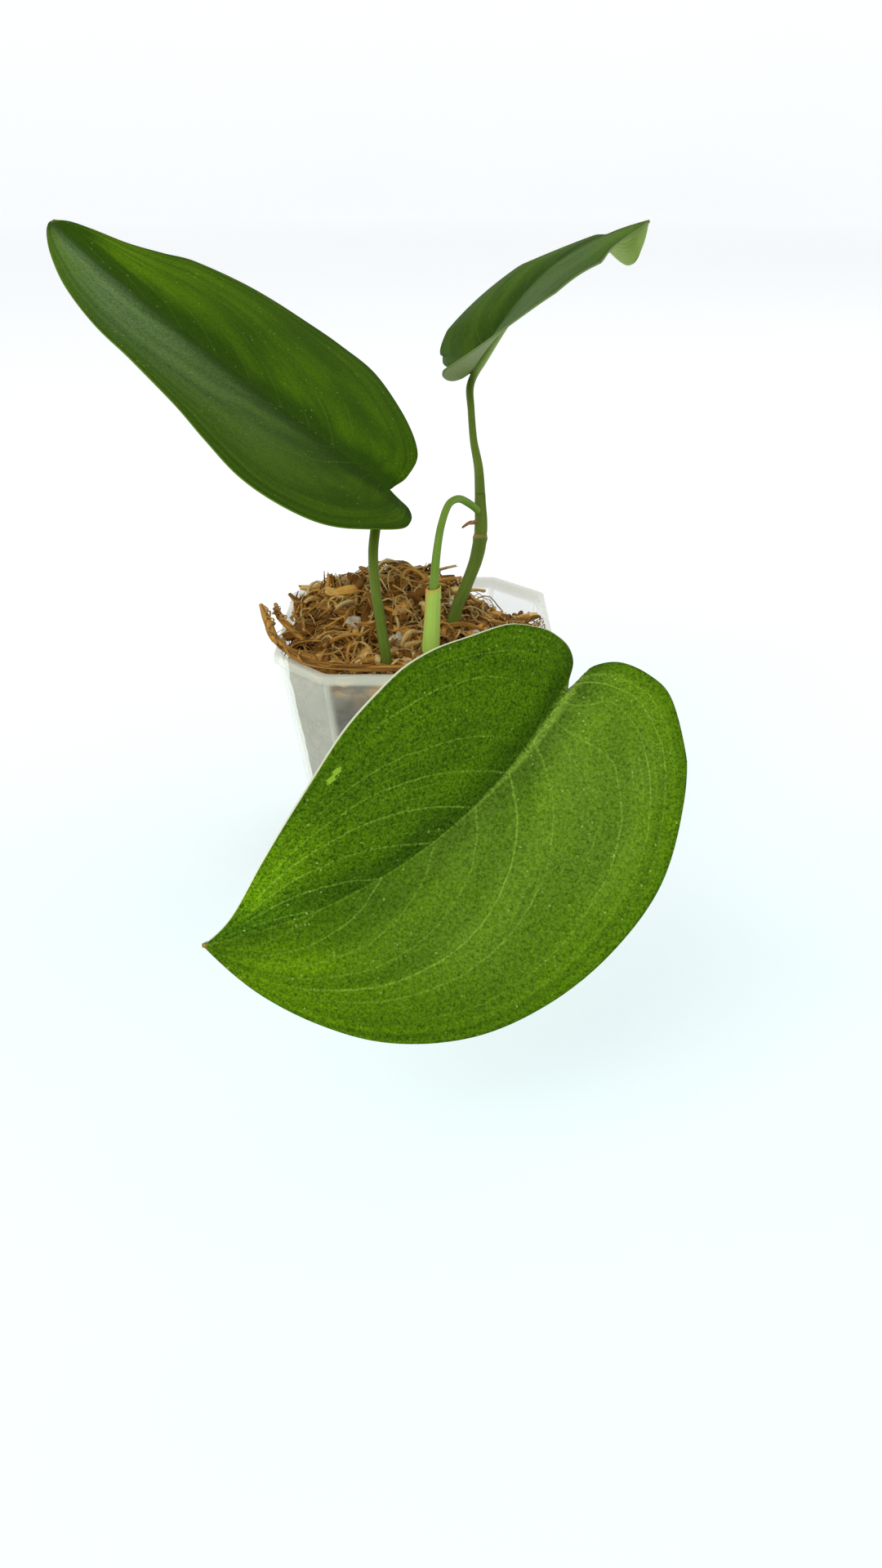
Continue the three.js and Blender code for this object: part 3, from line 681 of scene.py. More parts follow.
def chip(length, width, thickness, bend, steps, roughen, seed):
    """A bent strip of husk with torn, grooved faces."""
    rings = []
    for u in np.arange(steps + 1) / steps:
        taper = 0.35 + 0.65 * math.sin(math.pi * (0.12 + 0.76 * u))
        ring = []
        for k, (a, b) in enumerate(CHIP_SECTION):
            torn = noise.noise(Vector((k * 0.9, 2.2 * u, seed))) * roughen
            end = noise.noise(Vector((k * 1.7, 5.0, seed))) * roughen * (abs(2 * u - 1) ** 4)
            ring.append((
                (u - 0.5) * length + end * 0.12 * length,
                a * width / 2 * taper * (1 + 0.35 * torn),
                b * thickness / 2 * taper * (1 + 0.6 * torn) + bend * (1 - (2 * u - 1) ** 2),
            ))
        rings.append(ring)
    sides = len(CHIP_SECTION)
    uv = np.array([(k / sides, i / steps * length / 10) for i in range(steps + 1) for k in range(sides)])
    return *lofted(rings), uv


def laid_chip(x, y, lift, turns, tint, *sizes):
    """A chip turned and laid on the mix."""
    points, *rest = chip(*sizes)
    return kept_inside(turned(points, turns) + (x, y, mix_height(x, y) + lift)), *rest, tint


def husk_material(settings):
    shader = Shader("coconut husk", specular_ior_level=0.25)
    u, v = shader.uv("strip")
    tint = shader.attribute("tint")
    grain = shader.streaks(u * 14, v * 1.6, tint * 40, 4, 0.65)
    flecks = shader.noise(900)
    dry = (tint + (grain - 0.5) * 0.9).smooth(0.25, 0.95)
    husk = shader.mix(settings.husk_dark, settings.husk, dry.smooth(0.0, 0.55))
    husk = shader.mix(husk, settings.husk_pale, dry.smooth(0.55, 1.0))
    return shader.done(grain * 0.7 + flecks * 0.3, 0.5, roughness=0.7 + flecks * 0.25,
                       base_color=shader.brighten(husk, 0.7 + flecks * 0.6))


def bed_material(settings):
    """Husk crumbs packed together, seen between the chips and through the pot."""
    shader = Shader("packed husk", roughness=0.9, specular_ior_level=0.2)
    sway = shader.vector("MULTIPLY", shader.noise(160, 2, 0.5, output="Color"), (0.004, 0.004, 0.004))
    place = shader.vector("MULTIPLY", shader.vector("ADD", shader.place(), sway), (1, 1, 1.6))
    crumbs = shader.cells(210, vector=place)
    shade = shader.node("SeparateColor", {}, {0: shader.cells(210, vector=place, output="Color")})
    fibre = shader.noise(700, 4)
    husk = shader.mix(settings.husk_dark, settings.husk, (shade * 0.7 + fibre * 0.5).smooth(0.35, 1.1))
    husk = shader.mix(husk, settings.husk_pale, (shade.smooth(0.86, 0.96) * fibre).at_most(0.6))
    through_wall = shader.attribute("tint") * (0.66 + shader.noise(70).smooth(0.4, 0.6) * 0.26)
    husk = shader.mix(husk, HUSK_BEHIND_WALL, through_wall)
    # Darker between the crumbs: painted shade in the gaps
    return shader.done((1 - crumbs) * 0.8 + fibre * 0.2, 2.0,
                       base_color=shader.brighten(husk, 1.05 - crumbs.smooth(0.25, 0.8) * 0.75))


def husk_pieces(settings):
    """The chips and fibres of the mix, then crumbs, curls and hairs, each with a random tint."""
    draw = seeded(MIX_SEED)
    round_about = (0, 2 * math.pi)
    chips, fibres = [], []
    for i, x, y, length, width, thickness, heading, tilt, roll, bend in strewn(
            draw, CHIPS, 1.55, (8, 15), (2, 4.6), (1, 2), round_about, (-0.35, 0.55), (-0.8, 0.8), (0, 1.2)):
        chips.append(laid_chip(x, y, 0.35, (roll, -tilt, heading), i * TINT_STEP % 1,
                               length, width, thickness, bend, 10, 1, i))
    for i, x, y, length, width, heading, tilt, bend in strewn(
            draw, FIBRES, 1.5, (9, 17), (0.8, 1.3), round_about, (-0.3, 0.7), (0.6, 3)):
        fibres.append(laid_chip(x, y, 0.9, (0, -tilt, heading), 0.45 + 0.5 * (i * TINT_STEP % 1),
                                length, width, width, bend, 12, 0.8, 100 + i))
    for i, x, y, length, width, heading, tilt, roll in strewn(
            draw, settings.crumbs, 1.55, (1.8, 5.5), (0.8, 2.4), round_about, (-0.5, 0.5), (-1, 1)):
        chips.append(laid_chip(x, y, draw(0.3, 1.3), (roll, -tilt, heading), draw(0, 0.9),
                               length, width, width * 0.6, 0, 4, 1.4, 200 + i))
    for _, x, y, heading, turn, reach, lift, thick, swell in strewn(
            draw, settings.curls, 1.5, round_about, (-0.85, 0.85), (1.1, 2.6), (0.4, 3.6),
            (0.14, 0.5), (0.8, 1.3)):
        line = []
        for k in range(7):
            x += reach * math.cos(heading + turn * k)
            y += reach * math.sin(heading + turn * k)
            line.append((x, y, mix_height(x, y) + 0.3 + lift * math.sin(math.pi * k / 6)))
        radii = [thick * swell * share for share in (0.5, 1, 0.8, 1, 0.3)]
        points, *rest = tube(line, radii, 9, 4, flat=0.55)
        fibres.append((kept_inside(points), *rest, draw(0.3, 0.95)))
    for _, x, y, heading, reach, lift, sway in strewn(
            draw, settings.hairs, 1.5, round_about, (3, 9), (-0.5, 2.6), (-2.2, 2.2)):
        ahead = np.array((math.cos(heading), math.sin(heading)))
        ground = np.array((x, y))
        middle = ground + ahead * reach * 0.5 + np.array((-ahead[1], ahead[0])) * sway
        line = [(*spot, mix_height(*spot) + h) for spot, h in (
            (ground, 0.3), (middle, lift + 1.2), (ground + ahead * reach, lift * 0.7 + 0.6))]
        points, *rest = tube(line, (0.16, 0.12, 0.05), 7, 4)
        fibres.append((kept_inside(points), *rest, draw(0.35, 1)))
    return chips, fibres


def tuft(x, y, top, seed):
    """A bundle of fibres that stands up out of the mix and fans out."""
    draw = seeded(MIX_SEED + 40 + seed)
    fibres = []
    for _ in range(TUFT_FIBRES):
        foot = np.array((x + draw(-3.5, 3.5), y + draw(-3, 3)))
        tip = np.array((x + draw(-1.6, 1.6), y + draw(-1.6, 1.6)))
        ground = mix_height(*foot) - 0.5
        rise = (top - ground) * draw(0.45, 1)
        middle = (foot + tip) / 2 + (draw(-1.8, 1.8), draw(-1.8, 1.8))
        line = [(*foot, ground), (*middle, ground + rise * draw(0.4, 0.75)), (*tip, ground + rise)]
        fibres.append((*tube(line, (0.5, 0.42, 0.12), 8, 4, flat=0.55), draw(0.2, 0.8)))
    return fibres


def frayed(points, seed):
    """Fine fibres that run along a strip and come loose from it."""
    draw = seeded(MIX_SEED + 1 + seed)
    line = route(points, 24)
    fibres = []
    for _ in range(9):
        start = int(draw(0, 15))
        run = line[start:start + int(draw(6, 10))][::2]
        away = np.array([(draw(-1.4, 1.4), draw(-1.4, 1.4), draw(0, 1.3)) for _ in run])
        fibres.append((*tube(run + away, (0.12, 0.32, 0.28, 0.1), 12, 5, flat=0.6), draw(0.25, 0.75)))
    return fibres


class OBJECT_OT_potting_mix(bpy.types.Operator):
    """Add the coconut husk mix: its bed, chips, fibres and the strips over the rim"""

    bl_idname = "object.potting_mix"
    bl_label = "Potting mix"

    def execute(self, context):
        settings = context.scene.plant.mix

        def inner(z):
            return wall_half(z) - WALL - GAP - 0.1

        lowest = FLOOR + 2 * GAP
        rings = [square_ring(inner(z), z, cuts=BED_CUTS) for z in np.linspace(lowest, MIX_EDGE, BED_LEVELS)]
        rings += [square_ring(inner(MIX_EDGE) * w, MIX_EDGE, CORNER_ROUNDING * w, BED_CUTS)
                  for w in np.linspace(0.985, 0.02, BED_RINGS)]
        vertices, faces = lofted(rings)
        ring_size = len(rings[0])
        on_top = ring_size * BED_LEVELS
        side = vertices[:on_top].reshape(BED_LEVELS, ring_size, 3)
        edge = np.minimum(mix_height(*side[-1, :, :2].T), MIX_EDGE + 1)
        level = lowest + (edge - lowest) * np.linspace(0, 1, BED_LEVELS)[:, None]
        side[..., :2] *= (inner(level) / inner(side[..., 2]))[..., None]
        side[..., 2] = level
        vertices[on_top:, 2] = mix_height(*vertices[on_top:, :2].T)
        lift = lumps(vertices, 0.45) + 0.6 * lumps(vertices, 1.1)
        vertices[on_top:, 2] += 0.9 * lift[on_top:]
        vertices[:on_top, :2] *= (1 - 0.012 * (1 + lift[:on_top]))[:, None]
        behind_wall = np.arange(len(vertices)) < on_top - 2 * ring_size
        bed = object_from("husk_bed", kept_inside(vertices), faces, tint=behind_wall)
        finished(bed, "husk", "potting_mix", bed_material(settings))

        chips, fibres = husk_pieces(settings)
        strips = []
        for i, (points, radii) in enumerate(RIM_STRIPS):
            strip = tube(points, radii, 60, 14, ridges=0.16, flat=0.7, seed=i)
            strips += [(*strip, 0.42 + 0.06 * (i % 3)), *frayed(points, i)]
        for i, spot in enumerate(TUFTS):
            fibres += tuft(*spot, i)
        material = husk_material(settings)
        for name, pieces in (("husk_chips", chips), ("husk_fibres", fibres), ("rim_husk_strips", strips)):
            finished(object_from(name, *joined(pieces)), "husk", "potting_mix", material)
        return {"FINISHED"}


class OBJECT_OT_perlite_grains(bpy.types.Operator):
    """Add the pale perlite grains that lie in the mix"""

    bl_idname = "object.perlite_grains"
    bl_label = "Perlite grains"

    def execute(self, context):
        settings = context.scene.plant.mix
        shader = Shader("perlite", roughness=0.9, specular_ior_level=0.3)
        pores = shader.cells(1900, "SMOOTH_F1")
        pale = shader.mix(settings.perlite, settings.husk_pale, shader.noise(300).smooth(0.45, 0.75) * 0.4)
        # Darker in the pores: painted shade in the pits
        material = shader.done(pores, 0.35, base_color=shader.brighten(pale, 0.7 + pores * 0.5))
        for i, (x, y) in enumerate(GRAIN_SPOTS):
            grain, ball = added(
                bpy.ops.mesh.primitive_ico_sphere_add, f"perlite_grain_{i + 1}", subdivisions=5, radius=1)
            bumps = 0.42 * lumps(ball * 1.3 + (i * 7, 0, 0)) + 0.14 * lumps(ball * 4.5 + (0, i * 5, 0))
            points = ball * (0.95 + bumps)[:, None] * GRAIN_RADIUS * GRAIN_SHAPE
            move_vertices(grain, turned(points, (0, 0, i)) + (x, y, mix_height(x, y) + 1.5))
            finished(grain, "grain", f"perlite_{i + 1}", material)
        return {"FINISHED"}


# Stems

def darker(tint, amount):
    return tuple(c * amount for c in tint)


def stem_material(name, tint, shade, root_tint=None, rib_tint=None):
    """Smooth green skin with fine lengthwise streaks and pale specks."""
    shader = Shader(name, specular_ior_level=0.14)
    u, v = shader.uv("strip")
    streaks = shader.streaks(u * 9, v * 3)
    cloud = shader.noise(140)
    specks = shader.cells(1500).smooth(0.22, 0.1) * shader.noise(500).smooth(0.5, 0.7)
    skin = shader.mix(shade, tint, (streaks * 0.6 + cloud * 0.5).smooth(0.3, 0.75))
    if root_tint:
        scar = abs(v - NODE_AT).smooth(0.014, 0.004) * cloud.smooth(0.35, 0.6)
        skin = shader.mix(skin, root_tint, scar * 0.8)
    skin = shader.mix(skin, STEM_SPECKS, specks * 0.5)
    if rib_tint:
        skin = shader.mix(skin, rib_tint, shader.attribute("tint"))
    return shader.done(streaks * 0.7 + cloud * 0.3, 0.18, base_color=skin, roughness=0.36 + cloud * 0.14)


class OBJECT_OT_vine_stem(bpy.types.Operator):
    """Add the vine stem with its node and the arched shoot"""

    bl_idname = "object.vine_stem"
    bl_label = "Vine stem"

    def execute(self, context):
        settings = context.scene.plant.stem
        steps = 90
        vertices, faces, uv = tube(*VINE, steps, 20, ridges=0.02)
        v = uv[:, 1]
        centre = route(VINE[0], steps)[np.round(v * steps).astype(int)]
        swell = 1 + 0.13 * np.exp(-((v - NODE_AT) / 0.012) ** 2)
        swell -= 0.05 * np.exp(-((v - NODE_AT - 0.02) / 0.01) ** 2)
        vertices = centre + (vertices - centre) * swell[:, None]
        finished(object_from("vine_stem_skin", vertices, faces, uv), "stem", "vine_stem",
                 stem_material("vine skin", settings.stem, darker(settings.stem, 0.6), settings.root))
        shoot = object_from("arched_shoot", *tube(*ARCH, 130, 16, ridges=0.02))
        finished(shoot, "stem", "vine_stem",
                 stem_material("shoot skin", settings.shoot, darker(settings.shoot, 0.7)))
        return {"FINISHED"}


class OBJECT_OT_shoot_sheath(bpy.types.Operator):
    """Add the pale sheath round the shoot's foot, with its papery edge"""

    bl_idname = "object.shoot_sheath"
    bl_label = "Shoot sheath"

    def execute(self, context):
        settings = context.scene.plant.stem
        steps, dense = 60, 400
        start, end = (round(dense * share) for share in SHEATH_SPAN)
        path = evenly(route(ARCH[0], dense)[start:end + 1], steps)
        sheath, grid = added(bpy.ops.mesh.primitive_grid_add, "shoot_sheath_skin",
                             x_subdivisions=48, y_subdivisions=steps, size=1)
        across, down = grid[:, 0] + 0.5, grid[:, 1] + 0.5
        turn = SHEATH_SEAM + (across * 1.09 - 0.045) * 2 * math.pi
        slant = 0.05 * (0.5 + 0.5 * np.cos(turn - SHEATH_SEAM - 2.6))
        v = np.clip(0.05 - slant + down * (0.95 + slant), 0, 1)
        low = np.clip(np.floor(v * steps).astype(int), 0, steps - 1)
        blend = (v * steps - low)[:, None]
        centre, side, up = (a[low] * (1 - blend) + a[low + 1] * blend for a in (path, *frames_along(path)))
        overlap = 0.32 * smoothstep((across - 0.9) / 0.1) * (1 - 0.4 * v)
        flare = 0.3 * (1 - smoothstep(down / 0.2)) * smoothstep((abs(across - 0.5) - 0.35) / 0.15)
        radius = SHEATH_RADIUS + 0.5 * smoothstep(v / 0.75) + overlap * 0.7 + flare * 0.4
        points = centre + radius[:, None] * (np.cos(turn)[:, None] * side + np.sin(turn)[:, None] * up)
        move_vertices(sheath, points)
        sheath.data.uv_layers[0].name = "strip"
        apply_modifier(sheath, "SOLIDIFY", thickness=SHEATH_WALL * MM, offset=-1)
        edit_all(sheath, (bpy.ops.mesh.normals_make_consistent, {"inside": False}))

        shader = Shader("sheath skin", specular_ior_level=0.14)
        u, v = shader.uv("strip")
        streaks = shader.streaks(u * 30, v * 2)
        green = shader.brighten(settings.sheath, 0.75 + streaks * 0.5)
        ragged = v + (streaks - 0.5) * 0.1
        seam = (abs(u - 0.5) + (streaks - 0.5) * 0.08).smooth(0.42, 0.48)
        dry = (seam * ragged.smooth(0.42, 0.16) * 0.75 + ragged.smooth(0.05, 0.01) * 0.5).at_most(1)
        finished(sheath, "sheath", "leaf_sheath", shader.done(
            streaks, 0.2, base_color=shader.mix(green, settings.papery, dry), roughness=0.4 + dry * 0.3))
        return {"FINISHED"}


class OBJECT_OT_aerial_root(bpy.types.Operator):
    """Add the short brown root at the vine's node"""

    bl_idname = "object.aerial_root"
    bl_label = "Aerial root"

    def execute(self, context):
        vertices, faces, uv = tube(*AERIAL_ROOT, 30, 14, ridges=0.06)
        stub = object_from(
            "aerial_root_stub", vertices + 0.12 * lumps(vertices, 1.8)[:, None], faces, uv)
        shader = Shader("root bark", roughness=0.85, specular_ior_level=0.2)
        grain = shader.noise(1400, 4)
        root = context.scene.plant.stem.root
        bark = shader.mix(darker(root, 0.45), root, grain.smooth(0.3, 0.65))
        finished(stub, "root", "aerial_root", shader.done(grain, 0.2, base_color=bark))
        return {"FINISHED"}


# Leaves

def blade_reach(leaf):
    """The distance along the midrib at which the blade's tip lies."""
    return leaf["outlines"][0][-1][0]


def blade_points(leaf, s, t, half):
    """The place of each point "s" along the midrib and "t" away from it, on half 0 or 1."""
    a, b, c, d = np.array(leaf["midrib"], float)
    u = np.clip(s / blade_reach(leaf), 0, 1)
    w = u[:, None]
    centre = (1 - w) ** 3 * a + 3 * w * (1 - w) ** 2 * b + 3 * w**2 * (1 - w) * c + w**3 * d
    centre = centre + unit(b - a) * np.minimum(s, 0)[:, None]
    w = np.maximum(w, leaf["level_from"] if half == 0 else 0)
    along = unit((1 - w) ** 2 * (b - a) + 2 * w * (1 - w) * (c - b) + w**2 * (d - c))
    facing = unit(np.array(leaf["facing"], float))
    up = unit(facing - along * (along @ facing)[:, None])
    across = np.cross(up, along)
    turn = np.radians(np.interp(u, STATIONS, leaf["twist"]))[:, None]
    out = across * np.cos(turn) - up * np.sin(turn)
    top = up * np.cos(turn) + across * np.sin(turn)
    rise = np.radians(np.interp(u, STATIONS, leaf["rise"][half]))
    bend = np.radians(leaf["curl"][half]) / leaf["reach"]
    if "droop" in leaf and half == 0:
        start, over, fold, roll = leaf["droop"]
        drooped = smoothstep((u - start) / over)
        rise = rise - np.radians(fold) * drooped
        bend = bend + np.radians(roll) * drooped
    sideways = (np.sin(rise) - np.sin(rise - bend * t)) / bend
    upwards = (np.cos(rise - bend * t) - np.cos(rise)) / bend
    return centre + out * (sideways if half == 0 else -sideways)[:, None] + top * upwards[:, None]


def vein_place(row, across, spread):
    """Where on the midrib the side vein starts that passes a point of the grid. Side veins leave the
    midrib steeply and bend towards the tip, and those of the lobes fan out from the stalk's end."""
    low, high = np.full_like(row, -2.0), np.full_like(row, 1.2)
    swept = -spread * np.log(1 - np.minimum(across, 0.985))
    opened = smoothstep(across / 0.5)
    for _ in range(30):
        middle = (low + high) / 2
        lobe = 0.17 * (1 - smoothstep((middle - 0.27) / 0.14)) + 0.6 * np.maximum(0.27 - middle, 0)
        short = middle + swept - lobe * opened < row
        low, high = np.where(short, middle, low), np.where(short, high, middle)
    return (low + high) / 2


def blade_relief(leaf, s, t, half, across, vein, rounding):
    """Height of the surface: the fold rounded at the midrib, faint side veins and slow waves."""
    u = np.clip(s / blade_reach(leaf), 0, 1)
    steep = np.tan(np.radians(np.interp(u, STATIONS, leaf["rise"][half])))
    channel = steep * (np.hypot(t, rounding) - t)
    channel = channel * (1 - smoothstep((u - 0.8) / 0.2)) * smoothstep((s + 4) / 4)
    swell = 0.5 + 0.5 * np.cos(2 * np.pi * vein * leaf["veins"])
    quilt = -0.1 * swell**3 * (1 - smoothstep((across - 0.5) / 0.4)) * smoothstep(across / 0.05)
    waves = lumps(np.stack([s * 0.045, t * 0.05, np.full_like(s, 7 + half)], axis=1))
    return channel + quilt + 0.45 * waves * smoothstep(across * 1.5)


def side_veins(shader, leaf, half, along, from_rib):
    """The strong and the fine side veins, the soft bands between them, and the place across the half."""
    vein, across = shader.uv("veins")
    width = shader.attribute("rate") * leaf["veins"]
    inner = across.smooth(0.95, 0.72)
    warp = (shader.noise(130, 2) - 0.5) * 0.16
    count_at = vein * leaf["veins"] + warp
    seed = count_at.whole() + half * 57
    strength = shader.node("TexWhiteNoise", {"noise_dimensions": "1D"}, {"W": seed}) ** 2
    from_sinus = ((along * 100) ** 2 + from_rib ** 2) ** 0.5
    calm = shader.attribute("rate").smooth(0.12, 0.05) * (half + (1 - half) * from_sinus.smooth(10, 19))
    line = (abs(count_at.fraction() - 0.5) / width).smooth(0.3, 0.08)
    line = line * (0.46 + strength * 0.48) * inner * calm
    fine = abs((count_at * 3 + warp * 2).fraction() - 0.5) / (width * 3)
    fine = fine.smooth(0.2, 0.06) * inner * shader.noise(60, 2).smooth(0.45, 0.65)
    fine = fine * calm * along.smooth(0.6, 0.3) * 0.22
    bands = shader.streaks(count_at * 0.9, across * 3.2, half * 9, 3, 0.5).smooth(0.3, 0.7)
    return line, fine, bands, across


def blade_material(name, settings, leaf):
    """The satin upper side: fine grain, side veins that sweep to the tip, and a pale midrib."""
    shader = Shader(name, specular_ior_level=0.03)
    along, away = shader.uv("blade")
    half = away.smooth(0.499, 0.501)
    from_rib = abs(away - 0.5) * 100
    reach = blade_reach(leaf) / 100
    line, fine, bands, across = side_veins(shader, leaf, half, along, from_rib)

    def by_half(one, zero):
        return half * (one - zero) + zero

    grain = shader.noise(2600, 2, 0.6)
    pores = shader.cells(1500)
    mottle = shader.noise(1700, 2, 0.7).smooth(0.28, 0.72)
    cloud = shader.noise(60).smooth(0.3, 0.72)
    specks = shader.cells(620).smooth(0.15, 0.08) * shader.noise(210).smooth(0.46, 0.58)

    base = along.smooth(0.35, 0.02)
    rib_light, rib_shades, rib_width, rib_end = leaf["rib"]
    rib_line = (from_rib / (0.35 + base * 1.6)).smooth(1.0, 0.35) * (0.2 + base * 0.38) * rib_light
    rib_lasts = along.smooth(rib_end[1] * reach, rib_end[0] * reach) * 0.6 + 0.4
    # A dark band along the midrib: partly its own deep green, partly painted shade of the groove
    rib_tone_and_shade = from_rib.smooth(8.0, 0.4) * by_half(rib_lasts * rib_shades[0], rib_shades[1])

    to_tip = along.smooth(0.58 * reach, 0.98 * reach) * 0.62
    green = shader.mix(settings.green, settings.tip_green, to_tip + bands * 0.12)
    dark = (1 - bands) * leaf["bands"] + cloud * 0.22 + across.smooth(0.84, 1.0) * 0.2
    green = shader.mix(green, settings.deep_green, (dark + rib_tone_and_shade).at_most(1))
    pale = (line * 0.56 + fine).at_most(0.7) * along.smooth(reach, reach * 0.72) * leaf["vein_share"]
    green = shader.mix(green, settings.vein, (pale + rib_line).at_most(0.8))
    detail = grain.smooth(0.3, 0.7) * 0.5 + (0.92 - pores) * 0.34 + mottle * 0.16 - 0.48
    green = shader.brighten(green, 0.94 + detail * by_half(*leaf["texture"]))
    # A painted sheen: a pale grey-green laid over one half where it would reflect the bright surroundings
    painted_sheen_first, painted_sheen_second, start, end = leaf["painted_sheen"]
    painted_sheen = by_half(painted_sheen_first, painted_sheen_second) * along.smooth(reach * start, reach * end)
    painted_sheen = painted_sheen * across.smooth(1.1, 0.5) * from_rib.smooth(0.1 * rib_width, rib_width)
    painted_sheen = (mottle + cloud * 0.4 + bands * 0.3) * painted_sheen + mottle * (0.05 * leaf["vein_share"])
    green = shader.mix(green, leaf["painted_sheen_tint"], painted_sheen)
    # Painted glints: the satin blade's sparkle, as pale specks
    green = shader.mix(green, LEAF_GLINTS, specks * 0.5)
    if "spot" in leaf:
        spot_along, spot_away = leaf["spot"]
        du = (along * 100 - spot_along) * 0.6 + (grain - 0.5) * 0.9
        dv = ((away - 0.5) * 100 - spot_away - du * 0.25 - du.smooth(-0.1, 0.1) * 0.5) * 2.4
        green = shader.mix(green, SPOT_GREEN, abs(du).at_least(abs(dv)).smooth(1.25, 1.05) * 0.85)
    # A painted highlight along one half's margin
    green = shader.mix(green, settings.edge, across.smooth(0.988, 0.995) * (1 - half) * leaf["painted_edge_highlight"])
    green = shader.mix(green, TIP_BROWN, along.smooth(reach - 0.012, reach - 0.002) * 0.9)
    # Each half's tone: partly its own, partly painted light and shade that lightens or darkens it along the
    # blade
    one, zero = (along.smooth(reach * start, reach * end) * (last - first) + first
                 for first, last, start, end in leaf["shade"])
    return shader.done(
        grain * 0.35 + pores * 0.3 - line * 0.3 - fine * 0.2, 0.12, roughness=0.42 + grain * 0.2,
        base_color=shader.brighten(green, one * half + zero * (1 - half)))


def underside_material(name, settings, leaf):
    shader = Shader(name, roughness=0.6, specular_ior_level=0.2)
    vein, across = shader.uv("veins")
    near_tip = shader.uv("blade")[0].smooth(0.1, 0.5)
    apart = abs((vein * leaf["veins"]).fraction() - 0.5) / (shader.attribute("rate") * leaf["veins"])
    line = apart.smooth(0.45, 0.12) * across.smooth(0.95, 0.7)
    grain = shader.noise(1500)
    # Darker towards the base of the blade: painted shade
    pale = shader.brighten(settings.underside, (0.82 + grain * 0.36) * (0.52 + near_tip * 0.58))
    return shader.done(grain * 0.4 + line * 0.6, 0.15,
                       base_color=shader.mix(pale, darker(settings.underside, 0.72), line * 0.45))


def edge_material(name, settings, leaf):
    shader = Shader(name, roughness=0.5, specular_ior_level=0.1)
    half = shader.uv("blade")[1].smooth(0.499, 0.501)
    tone = 1 - shader.noise(420).smooth(0.5, 0.75) * 0.1
    # The rim is dimmed with the blade's painted shade, and one half's rim carries the painted highlight
    dim = min(1, leaf["shade"][0][0])
    rim = tuple((a * 0.6 + b * 0.4) * dim for a, b in zip(settings.green, settings.vein))
    return shader.done(base_color=shader.mix(rim, settings.edge, tone * (1 - half) * leaf["painted_edge_highlight"]))


def add_blade(name, leaf, settings):
    """One blade as a fine grid: columns from margin to midrib to margin, rows round the outline."""
    blade, grid = added(bpy.ops.mesh.primitive_grid_add, name,
                        x_subdivisions=2 * BLADE_RINGS, y_subdivisions=BLADE_ROWS, size=2)
    column, row = grid[:, 0], grid[:, 1] / 2 + 0.5
    reach = blade_reach(leaf)
    places, rate = np.zeros((len(column), 3)), np.ones(len(column))
    chart, veins = np.zeros((2, len(column), 2))
    for half, chosen in ((0, column >= -1e-6), (1, column < -1e-6)):
        margin = route(leaf["outlines"][half], BLADE_ROWS, centripetal=False)
        v, r = row[chosen], np.abs(column[chosen])
        at = np.round(v * BLADE_ROWS).astype(int)
        edge, next_edge = margin[at], margin[np.minimum(at + 1, BLADE_ROWS)]
        past_fan = np.maximum(v - FAN_SHARE, 0) / (1 - FAN_SHARE)
        foot = reach * past_fan ** ROW_CROWDING
        s = foot + (edge[:, 0] - foot) * (0.5 * r + 0.5 * r * r)
        t = np.maximum(edge[:, 1], 0) * (1.25 * r - 0.25 * r * r)
        here = blade_points(leaf, s, t, half)
        step = 0.02
        normal = unit(np.cross(
            blade_points(leaf, s + step, t, half) - blade_points(leaf, s - step, t, half),
            blade_points(leaf, s, t + step, half) - here)) * (1 if half == 0 else -1)
        vein = vein_place(v, r, leaf["fan"][half])
        relief = blade_relief(leaf, s, t, half, r, vein, settings.rounding / MM)
        places[chosen] = here + normal * relief[:, None]
        chart[chosen] = np.stack([s / 100, 0.5 + (t if half == 0 else -t) / 100], axis=1)
        veins[chosen] = np.stack([vein, r], axis=1)
        small = 0.004
        by_row = (vein_place(v + small, r, leaf["fan"][half]) - vein) / small
        by_ring = (vein - vein_place(v, np.maximum(r - small, 0), leaf["fan"][half])) / small
        foot_run = reach * ROW_CROWDING / (1 - FAN_SHARE) * past_fan ** (ROW_CROWDING - 1)
        row_run = foot_run * (1 - r) + np.linalg.norm(next_edge - edge, axis=1) * BLADE_ROWS * r
        ring_run = np.hypot(edge[:, 0] - foot, edge[:, 1])
        rate[chosen] = np.hypot(by_row / np.maximum(row_run, 1), by_ring / np.maximum(ring_run, 1))
    move_vertices(blade, places)
    blade.data.uv_layers.remove(blade.data.uv_layers[0])
    write_values(blade.data, {"veins": veins, "blade": chart}, {"rate": rate})
    thick = blade.vertex_groups.new(name="thick")
    for i, share in enumerate(1 - 0.35 * smoothstep((np.abs(column) - 0.6) / 0.4)):
        thick.add([i], float(share), "REPLACE")
    edit_all(blade, (bpy.ops.mesh.remove_doubles, {"threshold": 1e-6}),
             (bpy.ops.mesh.dissolve_degenerate, {"threshold": 1e-6}), (bpy.ops.mesh.flip_normals, {}))
    return blade


def add_stalk(name, leaf, title):
    """A leaf's stalk, which goes on under the blade as its midrib."""
    points, radii = PETIOLES[name]
    steps = 120
    shares = np.linspace(0.02, 0.97, 11)
    rib = blade_points(leaf, shares * blade_reach(leaf), np.zeros(11), 0)
    under = rib - unit(np.array(leaf["facing"], float)) * np.linspace(0.95, 0.2, 11)[:, None]
    stalk_length = lengths(route(points, steps)).sum()
    points = [*points, *under]
    stalk_end = stalk_length / lengths(route(points, steps)).sum()
    stations = np.concatenate([np.linspace(0, stalk_end, len(radii)), np.linspace(stalk_end, 1, 5)[1:]])
    sizes = np.interp(np.linspace(0, 1, steps + 1), stations, (*radii, 0.95, 0.75, 0.5, 0.2))
    vertices, faces, uv = tube(points, sizes, steps, 16, ridges=0.03)
    under_blade = 0.9 * smoothstep((uv[:, 1] - stalk_end) / 0.1)
    return object_from(title, vertices, faces, uv, under_blade)


